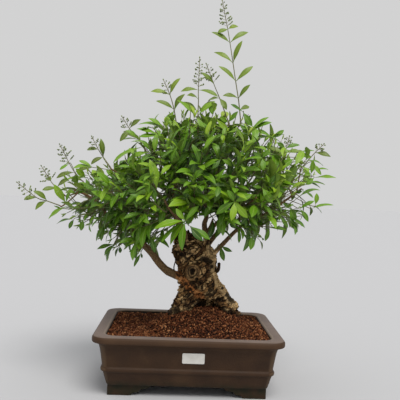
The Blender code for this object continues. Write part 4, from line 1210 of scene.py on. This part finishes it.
def frameLeaves(shoot, tree):
    # The leaves that the frame's shoot has, found by their tips
    rng = random.Random(shoot.name)
    nodes, choices = shoot.nodes, []
    if shoot.leaves is not None:
        choices = (placedLeafChoices(nodes[node], Vector(inMetres(tip)), rng) for node, *tip in shoot.leaves)
    else:
        choices = grownPairs(nodes, rng)
    found = (next((leaf for leaf in choice if liesOn(tree, leaf.tip)), None) for choice in choices)
    return [leaf for leaf in found if leaf]


def grownPairs(nodes, rng):
    spin = rng.uniform(0, math.pi)
    outward = Vector((nodes[-1].x, nodes[-1].y, 0)).normalized()
    for k in range(1, len(nodes)):
        tangent, side = pairAt(nodes, k, spin)
        for hand in (-1, 1):
            length = rng.uniform(*growth["leafLength"]) * (0.85 if k == len(nodes) - 1 else 1.0)
            yield grownLeafChoices(nodes[k], tangent, side * hand, length, outward, rng)


# Foliage: fine leaves, stems and buds

foliage = {
    "rows": (0.0, 0.05, 0.13, 0.26, 0.40, 0.54, 0.68, 0.81, 0.92, 1.0),
    "columns": (-1.0, -0.5, 0.0, 0.5, 1.0),
    "thickness": 0.00045,
    "petiole": 0.10,  # half width of the leaf stalk, as a share of the leaf's
    "fold": 0.22,
    "wave": 0.05,
    # what a point belongs to, in its fourth mark
    "upper": 1.0,
    "edge": 0.9,
    "lower": 0.8,
    "stem": 0.5,
    "twig": 0.3,
    "bud": 0.0,
}


def leafOutline(share):
    # Half width along the leaf: a stalk, a long oval widest past its middle, a blunt point
    if share <= 0 or share >= 1:
        return 0.0
    blade = max(0.0, (share - 0.07) / 0.93)
    return max(foliage["petiole"], math.sin(math.pi * blade ** 1.12) ** 0.88)


def leafTemplate():
    # Shares across and along at each point, which face it is on, and the faces between
    rows, columns = foliage["rows"], foliage["columns"]
    places, index = [], {}
    for face in (1, -1):
        for j, along in enumerate(rows):
            for i, across in enumerate(columns):
                end, edge = j in (0, len(rows) - 1), i in (0, len(columns) - 1)
                key = (0, j, 0) if end else (0, j, i) if edge else (face, j, i)
                if key not in index:
                    index[key] = len(places)
                    places.append((0.0 if end else across, along, 0 if end or edge else face))
                index[(face, j, i, "at")] = index[key]
    faces = []
    for face in (1, -1):
        for j in range(len(rows) - 1):
            for i in range(len(columns) - 1):
                ring = [index[(face, j, i, "at")], index[(face, j, i + 1, "at")],
                        index[(face, j + 1, i + 1, "at")], index[(face, j + 1, i, "at")]]
                ring = [corner for k, corner in enumerate(ring) if corner != ring[k - 1]]
                faces.append(tuple(ring if face > 0 else reversed(ring)))
    return np.array(places, float), faces


leafPlaces, leafFaces = leafTemplate()
leafHalf = np.array([leafOutline(share) for share in leafPlaces[:, 1]])


def addLeaf(gather, leaf, tone, rng):
    along = leaf.tip - leaf.base
    length = along.length
    along.normalize()
    across = along.cross(leaf.facing).normalized()
    face = across.cross(along)
    u, v, side = leafPlaces.T
    half = leaf.width / 2 * leafHalf
    wave = foliage["wave"] * np.sin(v * rng.uniform(7, 12) + rng.uniform(0, 6)) * u * half * 2
    rise = (4 * leaf.arch * length * v * (1 - v) + foliage["fold"] * np.abs(u) * half + wave
            + side * foliage["thickness"] / 2)
    swing = rng.uniform(-0.05, 0.05) * length * v * (1 - v) * 4
    points = (np.array(leaf.base) + np.outer(v * length, along)
              + np.outer(u * half + swing, across) + np.outer(rise, face))
    faces = np.choose(side.astype(int) + 1, [foliage["lower"], foliage["edge"], foliage["upper"]])
    gather.add(points, leafFaces, np.stack([u * 0.5 + 0.5, v, np.full(len(v), tone), faces], axis=1))


def addStem(gather, line, radii, kind, tone, perSpan=3, sides=6):
    gather.add(*roundedTube(line, radii, sides, perSpan), (0.5, 0.5, tone, kind))


def foliageFinish(name, olive):
    # The flowering shoots' leaves have more olive in them than the rest
    leaf = Finish(name, Roughness=0.45, Specular_IOR_Level=0.36)
    across, along, tone, kind = leaf.marks()
    place = leaf.place()
    mottle = leaf.grain(140, 3)
    side = abs(across - 0.5) * 2
    shade = tone + 0.16 * (mottle - 0.5)
    color = leaf.ramp(shade, [
        (0.00, (20, 42, 6)), (0.30, (48, 87, 10)), (0.55, (93, 138, 16)), (0.78, (138, 170, 34)),
        (1.00, (170, 190, 74))])
    lower = leaf.mix(0.42, color, (150, 168, 96))
    color = leaf.mix(kind < 0.9, color, lower)
    color = leaf.mix(olive, color, (112, 116, 50))
    rib = side.between(0.16, 0.04)
    color = leaf.mix(rib * 0.40, color, (160, 182, 94))
    veins = leaf.node("Math", {"operation": "SINE"}, {0: (along - side * 0.16) * 62})
    color = leaf.mix(veins.between(0.75, 1.0) * 0.12 * (1 - rib), color, (150, 176, 80))
    stem = leaf.mix(tone, (88, 84, 50), (126, 124, 88))
    twig = leaf.ramp(leaf.grain(330, 3), [(0.35, (78, 72, 42)), (0.65, (116, 106, 68))])
    bud = leaf.ramp(mottle * 0.5 + tone * 0.5, [(0.25, (84, 98, 54)), (0.75, (146, 160, 104))])
    color = leaf.mix(kind < 0.7, color, stem)
    color = leaf.mix(kind < 0.4, color, twig)
    color = leaf.mix(kind < 0.15, color, bud)
    leaf.bump(mottle * 0.3 + rib * -0.6 + veins.between(0.6, 1.0) * -0.3, 0.0005, 0.5)
    gloss = 0.30 + 0.18 * mottle + 0.38 * (kind < 0.7)
    return leaf.dress(Base_Color=color, Roughness=gloss)


# The crown's spread beyond the frame's shoots

spread = {
    "middle": (0.000, 0.000, 0.338),
    # the crown's edge as (x, z) in mm, where the camera sees it in the plane of the trunk
    "outline": inMetres([
        (-252, 274), (-253, 313), (-240, 336), (-244, 350), (-236, 364), (-226, 374), (-215, 365),
        (-205, 380), (-179, 370), (-167, 392), (-155, 391), (-144, 377), (-133, 401), (-106, 409),
        (-114, 419), (-123, 435), (-106, 439), (-86, 458), (-64, 455), (-54, 475), (-39, 479),
        (-24, 501), (-2, 490), (28, 495), (48, 476), (77, 485), (98, 479), (110, 465), (133, 461),
        (136, 439), (155, 451), (168, 432), (187, 422), (212, 414), (220, 398), (239, 381), (252, 368),
        (235, 351), (223, 338), (252, 319), (213, 311), (209, 287), (190, 268), (170, 257), (166, 268),
        (136, 266), (131, 250), (118, 259), (114, 241), (105, 233), (97, 254), (87, 245), (78, 268),
        (64, 264), (54, 252), (45, 252), (48, 281), (52, 295), (18, 297), (7, 272), (-42, 265),
        (-56, 248), (-39, 231), (-62, 239), (-64, 223), (-78, 238), (-88, 212), (-98, 195), (-108, 221),
        (-130, 210), (-147, 202), (-166, 226), (-166, 239), (-179, 256), (-216, 258), (-239, 266),
    ]),
    # gaps in it that show what is behind, as (x, z, radius) in mm
    "gaps": inMetres([
        (-22, 478, 7.9), (1, 479, 5.7), (14, 474, 6.5), (38, 475, 5.2), (-34, 455, 4.1), (-34, 468, 8.4),
        (-11, 460, 5.9), (39, 456, 3.9), (60, 466, 7.1), (74, 460, 4.9), (101, 460, 3.7),
        (-101, 428, 7.0), (-85, 441, 6.5), (-60, 445, 6.5), (114, 438, 4.5), (118, 450, 6.2),
        (-94, 418, 8.0), (-71, 420, 8.0), (124, 429, 3.5), (144, 423, 6.9), (157, 429, 7.7),
        (166, 418, 3.2), (-123, 391, 6.6), (-98, 401, 4.5), (-92, 393, 2.6), (18, 394, 2.5),
        (101, 402, 3.0), (161, 398, 2.6), (177, 406, 8.7), (198, 400, 9.2), (-219, 355, 9.4),
        (-200, 366, 6.1), (-187, 362, 3.7), (-159, 375, 8.1), (-61, 370, 2.6), (18, 380, 2.2),
        (38, 372, 2.2), (56, 369, 3.5), (60, 384, 2.0), (64, 369, 2.2), (83, 385, 1.7), (95, 380, 3.5),
        (124, 388, 2.0), (164, 371, 2.2), (192, 383, 7.8), (218, 389, 6.5), (231, 375, 5.8),
        (-229, 344, 7.6), (-220, 335, 7.6), (-186, 344, 5.5), (-154, 355, 3.9), (-87, 342, 1.7),
        (77, 350, 4.5), (95, 353, 2.8), (178, 359, 4.1), (216, 370, 6.6), (230, 360, 7.4),
        (-185, 319, 4.8), (-158, 325, 3.3), (-65, 327, 1.7), (-57, 333, 3.3), (-55, 322, 2.2),
        (-38, 326, 1.7), (-26, 332, 2.5), (-9, 325, 2.5), (27, 332, 1.7), (29, 340, 1.7), (77, 341, 1.7),
        (168, 336, 3.5), (185, 333, 7.5), (201, 344, 7.7), (211, 333, 6.1), (216, 348, 7.1),
        (-240, 309, 7.7), (-239, 298, 7.6), (-213, 310, 8.4), (-196, 305, 5.8), (-74, 313, 3.3),
        (-63, 317, 2.2), (22, 305, 2.0), (89, 321, 1.7), (133, 311, 3.2), (150, 315, 3.0),
        (167, 322, 8.6), (186, 315, 9.2), (197, 327, 8.1), (204, 308, 7.2), (226, 324, 5.1),
        (-236, 279, 8.2), (-225, 288, 8.1), (-222, 272, 7.1), (-165, 282, 3.2), (-61, 291, 4.0),
        (-35, 289, 2.0), (-24, 284, 1.7), (0, 279, 1.7), (63, 303, 1.7), (81, 283, 2.6), (173, 298, 1.7),
        (-200, 270, 6.9), (-184, 267, 4.2), (-170, 257, 5.7), (-59, 258, 5.3), (-47, 269, 1.7),
        (-34, 275, 3.0), (-26, 276, 2.8), (123, 267, 4.6), (160, 277, 9.4), (191, 285, 6.6),
        (-151, 239, 6.9), (-133, 249, 4.8), (-148, 225, 6.6), (-137, 220, 6.1), (-122, 224, 5.7),
        (-95, 218, 3.9),
    ]),
    "halfDepth": 0.155,
    "places": 700,  # tried in the box round the outline, evenly as the camera sees it
    "layers": (-1.0, 0.95, -0.75, 0.05, 0.70, -0.35, 0.35),  # share of the depth there, in turn
    "length": (0.040, 0.068),
    "pairs": (3, 5),
    "leafLength": (0.025, 0.045),
    "leafWidth": (0.26, 0.34),
    "angle": (42, 62),
    "droop": (-0.45, 0.0),
    "lowBelow": 0.29,  # lower than this, leaves hang by so much more
    "lowDroop": 0.35,
    "gapMargin": 0.0008,
    "lightness": (0.05, 0.35, 0.26),  # of the inmost leaf, and added at the edge and at the top: younger, paler growth outside, with painted shade within and painted light on top
    "mottle": (-0.14, 0.17),
    # patches of painted shade and painted light, where leaves are seen deeper or lighter green, as (x, z,
    # reach, change of tone)
    "shades": [
        (-0.010, 0.415, 0.050, -0.20), (0.050, 0.405, 0.040, -0.12), (-0.150, 0.300, 0.040, -0.10),
        (0.175, 0.350, 0.050, 0.10), (-0.200, 0.340, 0.040, 0.08), (0.070, 0.455, 0.040, 0.05),
    ],
}


def outlineReach(angle):
    # How far the crown reaches from its middle at this angle, seen from the front
    middleX, _, middleZ = spread["middle"]
    direction = Vector((math.cos(angle), math.sin(angle)))
    corners = [Vector((x - middleX, z - middleZ)) for x, z in spread["outline"]]
    best = 0.05
    for start, end in zip(corners, [*corners[1:], corners[0]]):
        edge = end - start
        crossing = direction.x * edge.y - direction.y * edge.x
        if abs(crossing) < 1e-9:
            continue
        away = (start.x * edge.y - start.y * edge.x) / crossing
        share = (start.x * direction.y - start.y * direction.x) / crossing
        if away > 0 and 0 <= share <= 1:
            best = max(best, away)
    return best


def seenAt(point):
    # Where the camera sees the point in the plane of the trunk, as (x, z)
    eye = Vector(view["place"])
    return (eye + (point - eye) * (-eye.y / (point.y - eye.y))).xz


def fillsGap(leaf):
    start, end = seenAt(leaf.base), seenAt(leaf.tip)
    return any(besideLine(Vector((x, z)), start, end)[0] < radius + spread["gapMargin"]
               for x, z, radius in spread["gaps"])


def inCrown(point):
    # Whether the camera sees the point within the crown's edge
    seen = seenAt(point)
    inside = False
    corners = spread["outline"]
    for (startX, startZ), (endX, endZ) in zip(corners, [*corners[1:], corners[0]]):
        if (startZ > seen.y) != (endZ > seen.y):
            if seen.x < startX + (seen.y - startZ) * (endX - startX) / (endZ - startZ):
                inside = not inside
    return inside


def moreShoots():
    # Leafy shoots spread evenly over the crown as it is seen, near its front and back and within
    shoots = []
    eye, middle = Vector(view["place"]), Vector(spread["middle"])
    xs, zs = zip(*spread["outline"])
    for i in range(spread["places"]):
        rng = random.Random(f"more shoots {i}")
        x = min(xs) + (max(xs) - min(xs)) * ((0.5 + i * 0.7548776662) % 1)
        z = min(zs) + (max(zs) - min(zs)) * ((0.5 + i * 0.5698402910) % 1)
        away = Vector((x - middle.x, 0, z - middle.z))
        share = min(1.0, away.length / outlineReach(math.atan2(away.z, away.x)))
        layer = spread["layers"][i % len(spread["layers"])]
        depth = spread["halfDepth"] * math.sqrt(1 - 0.94 * share ** 2) * layer
        depth *= rng.uniform(0.85, 1.0)
        tip = eye + (Vector((x, 0, z)) - eye) * ((depth - eye.y) / -eye.y)
        if not inCrown(tip):
            continue
        outward = Vector((away.x * 0.8, depth, away.z * 1.2)).normalized()
        way = outward + up * (0.55 if away.z > -0.03 else 0.05)
        way += Vector(rng.uniform(-0.35, 0.35) for _ in range(3))
        way.normalize()
        length = rng.uniform(*spread["length"])
        base = tip - way * length
        bend = base.lerp(tip, 0.5) - up * length * crown["sag"]
        line = bentLine(base, bend, tip, rng.randint(*spread["pairs"]))
        shoots.append(Shoot(f"more {i}", line, None, None))
    return shoots


def toneOf(point, rng, young):
    # Leaves are lighter out at the crown's edge and at its top, partly as younger growth and partly as
    # painted light, and darker within as painted shade
    away = point - Vector(spread["middle"])
    outer = min(1.0, Vector((away.x / 0.25, away.y / 0.17, away.z / 0.14)).length)
    height = clamp((point.z - 0.24) / 0.24)
    inmost, atEdge, atTop = spread["lightness"]
    tone = inmost + atEdge * outer + atTop * height + young + rng.uniform(*spread["mottle"])
    seen = seenAt(point)
    # patches of painted shade and painted light where the crown is seen deeper or lighter
    for x, z, reach, change in spread["shades"]:
        tone += change * nearZero((seen - Vector((x, z))).length, reach)
    return min(1.0, max(0.02, tone))


def grownLeaves(shoot, rng):
    # Opposite pairs, each at right angles to the last, shorter at the foot and the tip, with
    # their tones. Leaves that would stand outside the crown are left out.
    nodes, found = shoot.nodes, []
    spin = rng.uniform(0, math.pi)
    sinking = spread["lowDroop"] if nodes[-1].z < spread["lowBelow"] else 0
    outward = (nodes[-1] - Vector(spread["middle"])).normalized()
    for k in range(1, len(nodes)):
        tangent, side = pairAt(nodes, k, spin)
        share = k / (len(nodes) - 1)
        size = 0.78 + 0.35 * math.sin(math.pi * min(1, share * 0.95))
        for hand in (-1, 1):
            angle = math.radians(rng.uniform(*spread["angle"]) - 14 * share)
            droop = rng.uniform(*spread["droop"]) - sinking
            way = tangent * math.cos(angle) + side * hand * math.sin(angle) + up * droop
            length = rng.uniform(*spread["leafLength"]) * size
            facing = up * 0.8 + tangent * 0.3 + outward * 0.4
            facing += Vector(rng.uniform(-0.35, 0.35) for _ in range(3))
            base = nodes[k] + way.normalized() * 0.0004
            leaf = Leaf(base, base + way.normalized() * length, facing,
                        length * rng.uniform(*spread["leafWidth"]), rng.uniform(0.05, 0.15))
            if inCrown(leaf.tip) and inCrown(leaf.base.lerp(leaf.tip, 0.5)) and not fillsGap(leaf):
                found.append((leaf, toneOf(leaf.tip, rng, 0.10 * share)))
    # the folded young pair at the shoot's end
    tangent = (nodes[-1] - nodes[-2]).normalized()
    side = tangent.orthogonal().normalized()
    for hand in (-1, 1):
        way = (tangent + side * hand * 0.35).normalized()
        length = rng.uniform(0.010, 0.018)
        leaf = Leaf(nodes[-1], nodes[-1] + way * length, side * -hand, length * 0.26, 0.05)
        if inCrown(leaf.tip):
            found.append((leaf, toneOf(leaf.tip, rng, 0.22)))
    return found


# Sprigs at the crown's front and edge that the photo shows leaf by leaf: the sprig's end in mm, then
# its leaves as (x and z of the tip and the width as seen, in mm, and the tone in hundredths)
sprigs = [
    ((-15, -150, 286), (-62, 272, 9.6, 62), (-36, 248, 8.9, 58), (-50, 251, 5.5, 50), (-18, 241, 11.0, 50),
     (-30, 305, 8.2, 60), (5, 310, 8.2, 55)),
    ((-7, -140, 278), (14, 256, 9.7, 26), (25, 258, 9.0, 46)),
    ((2, -120, 293), (35, 304, 8.5, 36), (-26, 300, 5.0, 62)),
    ((9, -135, 309), (39, 336, 9.8, 62), (-12, 324, 7.0, 50)),
    ((59, -150, 318), (16, 338, 5.5, 66), (55, 289, 11.0, 72), (81, 294, 11.0, 66), (86, 331, 9.6, 58),
     (47, 336, 8.2, 50), (32, 298, 11.0, 46)),
    ((30, -120, 315), (40, 339, 11.3, 50), (15, 291, 8.5, 42)),
    ((-145, -60, 274), (-152, 243, 9.0, 42), (-159, 243, 6.0, 36)),
    ((-131, -50, 238), (-159, 229, 6.1, 42), (-147, 218, 6.8, 42), (-142, 208, 4.6, 32)),
    ((-122, -45, 235), (-128, 216, 3.8, 30), (-121, 223, 6.1, 30)),
    ((-92, -50, 232), (-95, 215, 6.1, 36), (-106, 226, 5.3, 34)),
    ((-85, -55, 226), (-96, 202, 6.1, 42), (-83, 217, 3.8, 26)),
    ((-186, -40, 278), (-189, 258, 9.2, 46)),
    ((-203, -30, 277), (-211, 260, 7.0, 38), (-233, 267, 3.1, 36)),
    ((-214, -30, 299), (-246, 275, 7.0, 60), (-192, 305, 4.7, 30)),
    ((-216, -40, 304), (-236, 335, 12.3, 68), (-207, 326, 6.1, 50)),
    ((-176, -30, 367), (-207, 363, 6.2, 60), (-199, 377, 6.2, 62)),
    ((-217, -20, 371), (-232, 360, 5.5, 58)),
    ((-186, -30, 348), (-219, 343, 5.4, 62), (-202, 363, 10.9, 66), (-175, 328, 7.8, 45)),
    ((-172, -50, 334), (-199, 337, 7.6, 58), (-195, 320, 7.6, 50), (-155, 354, 7.6, 42)),
    ((-73, -110, 322), (-77, 301, 11.5, 26), (-92, 307, 7.2, 34)),
    ((-91, -110, 327), (-109, 304, 7.2, 46), (-108, 330, 7.2, 36)),
    ((-68, -90, 255), (-61, 231, 8.8, 34), (-38, 239, 6.6, 34)),
    ((-127, -80, 290), (-99, 285, 8.9, 32), (-148, 278, 7.4, 36)),
    ((-104, -90, 294), (-91, 269, 8.0, 34)),
    ((-92, -40, 404), (-140, 375, 8.5, 60)),
    ((-74, -60, 395), (-114, 378, 8.3, 62), (-94, 414, 7.5, 50)),
    ((-95, -70, 367), (-131, 357, 7.5, 64), (-92, 384, 9.0, 56)),
    ((-68, -90, 361), (-93, 342, 7.3, 50), (-68, 375, 5.8, 50)),
    ((-46, -100, 394), (-33, 384, 10.1, 46), (-59, 385, 10.1, 46)),
    ((-135, -70, 342), (-112, 340, 6.7, 46), (-155, 335, 6.7, 42)),
    ((-8, -130, 346), (-18, 318, 11.2, 32), (10, 317, 10.5, 42), (-31, 347, 8.4, 46)),
    ((38, -120, 385), (7, 372, 5.7, 58), (56, 374, 7.1, 58), (23, 367, 7.1, 36)),
    ((4, -120, 367), (26, 342, 11.3, 26), (-14, 373, 7.1, 30)),
    ((25, -125, 345), (55, 341, 8.5, 34)),
    ((103, -120, 389), (104, 369, 8.5, 50), (114, 402, 8.5, 50), (87, 398, 5.7, 42)),
    ((72, -115, 380), (74, 363, 7.1, 44)),
    ((105, -120, 342), (122, 319, 12.8, 58), (89, 344, 5.7, 44)),
    ((116, -110, 347), (142, 337, 11.5, 34), (126, 364, 7.2, 36)),
    ((165, -60, 394), (141, 378, 12.1, 58), (183, 388, 6.0, 60)),
    ((153, -60, 377), (157, 357, 7.5, 50), (139, 386, 6.0, 56)),
    ((131, -30, 431), (152, 446, 8.5, 54), (100, 442, 7.8, 52), (102, 430, 5.4, 50)),
    ((155, -30, 413), (181, 421, 7.0, 46), (140, 423, 7.8, 46)),
    ((181, -20, 408), (208, 412, 3.9, 50), (203, 400, 7.8, 60)),
    ((206, -10, 372), (207, 397, 9.5, 60), (190, 381, 7.9, 60)),
    ((209, -10, 392), (224, 371, 7.9, 62)),
    ((213, -10, 380), (236, 381, 3.2, 58)),
    ((212, -10, 366), (250, 367, 5.5, 62), (197, 353, 9.5, 56)),
    ((202, -10, 358), (232, 354, 4.0, 58), (225, 348, 4.0, 52)),
    ((193, -10, 342), (210, 330, 4.7, 38), (181, 338, 6.3, 36)),
    ((187, -20, 310), (212, 325, 6.3, 56), (202, 288, 8.6, 52)),
    ((215, -15, 318), (217, 339, 8.7, 62)),
    ((210, -15, 312), (249, 319, 4.7, 58)),
    ((166, -40, 311), (177, 289, 12.3, 56), (152, 319, 6.1, 40)),
    ((165, -40, 296), (180, 270, 9.2, 44), (192, 278, 6.1, 40)),
    ((146, -50, 297), (162, 277, 7.6, 42), (133, 283, 7.6, 42)),
    ((131, -50, 276), (159, 274, 6.1, 48), (124, 253, 7.6, 46)),
    ((74, -80, 275), (76, 250, 6.6, 38), (59, 281, 5.9, 30)),
    ((97, -80, 264), (95, 240, 10.3, 56), (88, 257, 5.2, 30)),
    ((87, -100, 298), (102, 274, 11.6, 32), (75, 281, 7.2, 30)),
    ((50, -40, 241), (69, 233, 6.9, 36), (56, 216, 9.2, 38)),
    ((-39, 10, 477), (-53, 444, 10.5, 62), (-24, 505, 7.2, 60)),
    ((-2, -30, 461), (-36, 487, 7.8, 60), (11, 439, 7.8, 60)),
    ((3, -30, 465), (30, 488, 9.3, 64)),
    ((21, -30, 488), (27, 466, 9.3, 56)),
    ((55, -20, 455), (71, 475, 7.8, 50), (39, 464, 7.8, 60)),
    ((80, -20, 475), (97, 450, 11.0, 46), (57, 486, 6.3, 36)),
    ((93, -30, 439), (125, 467, 6.2, 58), (75, 451, 7.8, 50)),
    ((96, -30, 441), (129, 457, 7.8, 52)),
    ((-56, -40, 438), (-100, 442, 6.1, 58), (-83, 453, 6.9, 60)),
    ((-62, -50, 424), (-102, 434, 6.8, 58), (-97, 420, 7.6, 54)),
    ((-99, -20, 418), (-122, 433, 7.0, 58), (-126, 417, 2.8, 46)),
    ((31, -70, 454), (53, 435, 9.0, 72), (13, 440, 7.5, 66)),
    ((65, -60, 443), (78, 424, 7.5, 62), (53, 424, 7.5, 60)),
    ((-12, -70, 440), (-28, 423, 9.0, 56), (0, 423, 9.0, 56)),
]


def sprigLeaf(base, leaf, rng):
    # A leaf turned about its length until it looks as wide as it was seen
    x, z, seenWidth = inMetres(leaf[:3])
    tip = Vector((x, base.y + rng.uniform(-0.010, 0.004), z))
    along = (tip - base).normalized()
    width = max((tip - base).length * 0.31, seenWidth)
    turned = seenWidth / width
    rise = along.cross(Vector((0, 1, 0)))
    rise = rise if rise.z > 0 else -rise
    facing = Vector((0, -turned, 0)) + rise * math.sqrt(1 - turned ** 2)
    return Leaf(base, tip, facing, width, rng.uniform(0.04, 0.10)), leaf[3] / 100


def addBud(gather, middle, way, size, tone):
    # A small plump bud, pointed at its end
    line = [middle + way * size * along for along in (0, 0.5, 1.3, 1.9)]
    radii = [size * share for share in (0.35, 0.85, 0.80, 0.25)]
    gather.add(*tubeShape(line, radii, 6), (0.5, 0.5, tone, foliage["bud"]))


panicle = {
    "foot": 0.10,
    "length": 0.86,
    "rungGap": 0.0060,
    "stalk": 0.0155,
    "stalkRadii": (0.00032, 0.00022),
    "bud": 0.00142,
    "full": 0.040,  # a panicle this long or longer has stalks of full length
    "ranks": (1.0, 0.74, 0.48),  # where buds stand along a stalk
    "bare": 0.0048,  # nearer than this to the axis there are none
}


def growPanicle(gather, shoot, rng):
    # An open cone of stalks in crossed pairs, each with buds near its end
    foot, tip = shoot.nodes[-1], shoot.panicle
    axis = tip - foot
    way = axis.normalized()
    rungs = max(4, round(axis.length * panicle["length"] / panicle["rungGap"]))
    full = 0.55 + 0.45 * min(1.0, axis.length / panicle["full"])
    side = way.cross(Vector((0, 1, 0))).normalized()
    for rung in range(rungs):
        share = panicle["foot"] + panicle["length"] * rung / rungs
        root = foot + axis * share
        for arm in range(2):
            turn = math.pi * (rung / 2 + arm + 0.2) + rng.uniform(-0.35, 0.35)
            out = Quaternion(way, turn) @ side
            lean = (out + way * rng.uniform(0.35, 0.80)).normalized()
            length = panicle["stalk"] * (1.12 - share) * full * rng.uniform(0.75, 1.15)
            end = root + lean * length
            addStem(gather, [root, end], panicle["stalkRadii"], foliage["stem"], 0.9, 1, 5)
            for rank, at in enumerate(panicle["ranks"]):
                if rank and length * at < panicle["bare"]:
                    break
                for hand in ((-1, 1) if rank else (0,)):
                    spur = (lean + lean.cross(way).normalized() * hand * 1.3).normalized()
                    size = panicle["bud"] * rng.uniform(0.85, 1.15)
                    addBud(gather, root.lerp(end, at) + spur * size * (0.9 if hand else 0.2), spur, size,
                           rng.random())
    addBud(gather, tip - way * panicle["bud"], way, panicle["bud"], rng.random())


def makeFoliage(placed, trees, growths, leafMaterial, youngMaterial):
    # One spray for each of the frame's shoots, with the shoots that grow round it
    gathers = {shoot.name: Gather() for shoot in placed}
    homes = [shoot for shoot in placed if not shoot.panicle]
    middle = Vector(growth["shootMiddle"])
    count = 0

    def addSprig(base, direction, beside, kind, slimness, tone):
        # The twig that leads to a sprig, in the spray of the nearest of the frame's shoots
        twig, radii = twigTo(base, direction, growths)
        gather = gathers[min(homes, key=lambda home: (home.nodes[1] - beside).length).name]
        addStem(gather, twig, [slimness * radius for radius in radii], kind, tone)
        return gather, twigGrowths(twig, radii)

    for shoot in placed:
        rng = random.Random("fine " + shoot.name)
        gather = gathers[shoot.name]
        nodes = [*shoot.nodes, shoot.panicle] if shoot.panicle else shoot.nodes
        addStem(gather, nodes, taper(*growth["shootRadius"], len(nodes)), foliage["stem"],
                0.8 if shoot.panicle else 0.4)
        for leaf in frameLeaves(shoot, trees[shoot.name]):
            addLeaf(gather, leaf, toneOf(leaf.tip, rng, -0.12 if shoot.panicle else 0.04), rng)
            count += 1
        if shoot.panicle:
            growPanicle(gather, shoot, rng)
    for shoot in sorted(moreShoots(), key=lambda shoot: (shoot.nodes[0] - middle).length):
        rng = random.Random("fine " + shoot.name)
        nodes = shoot.nodes
        leaves = grownLeaves(shoot, rng)
        if len(leaves) < 3 or not inCrown(nodes[-1]):
            continue
        gather, places = addSprig(nodes[0], (nodes[1] - nodes[0]).normalized(), nodes[1],
                                  foliage["twig"], 0.55, 0.4)
        growths += places
        addStem(gather, nodes, taper(*growth["shootRadius"], len(nodes)), foliage["stem"], 0.35, 2)
        for leaf, tone in leaves:
            addLeaf(gather, leaf, tone, rng)
        count += len(leaves)
    for i, (base, *leaves) in enumerate(sprigs):
        rng = random.Random(f"sprig {i}")
        base = Vector(inMetres(base))
        leaves = [sprigLeaf(base, leaf, rng) for leaf in leaves]
        direction = sum(((leaf.tip - leaf.base).normalized() for leaf, _ in leaves), up * 0.01).normalized()
        gather, _ = addSprig(base, direction, base, foliage["stem"], 0.5, 0.3)
        for leaf, tone in leaves:
            addLeaf(gather, leaf, tone, rng)
        count += len(leaves)
    for shoot in placed:
        kind, material, slotName = (("floweringSpray", youngMaterial, "flowering_shoot") if shoot.panicle
                                    else ("leafySpray", leafMaterial, "leaf"))
        gathers[shoot.name].piece(kind + shoot.name[-2:], material, slotName, [shoot.name], 60)
    print("foliage:", count, "leaves in", len(placed), "sprays")


def makeFloor():
    # Level as far as can be seen, and as bright as the backdrop behind it
    bm = bmesh.new()
    bmesh.ops.create_circle(bm, cap_ends=True, segments=96, radius=studio["floorReach"])
    floor = meshOf(bm, "floor")
    floor.location = potMiddle
    plain = Finish("plainFloor", Roughness=0.9, Specular_IOR_Level=0.1)
    plain.feed(plain.shader.inputs["Base Color"], studio["floor"])
    floor.data.materials.append(plain.material)
    floor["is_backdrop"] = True


def countTriangles():
    sizes = {}
    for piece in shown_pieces():
        piece.data.calc_loop_triangles()
        sizes[piece.name] = len(piece.data.loop_triangles)
    largest = max(sizes, key=sizes.get)
    print("triangles:", sum(sizes.values()), "in all,", sizes[largest], "in", largest)


placeCamera()
lightStudio()
makeFloor()
print("studio ready")

makePot(clayFinish())
makeLabel(paperFinish())
dressDrainageMesh()
print("pot ready")

trees = {name: nodeTree(name) for name in frame["nodes"] if "_shoot_" in name}
placed, twigs, growths = frameGrowth(trees)
fineWood = makeWood(makeTrunk(), twigs, barkFinish())
print("wood ready")

grit = soilFinish()
makeSoilBed(grit)
bpy.context.view_layer.update()
woodTree = BVHTree.FromObject(fineWood, bpy.context.evaluated_depsgraph_get())
makeGranules(grit, woodTree)
print("soil ready")

makeFoliage(placed, trees, growths, foliageFinish("foliage", 0.0), foliageFinish("youngFoliage", 0.5))
countTriangles()
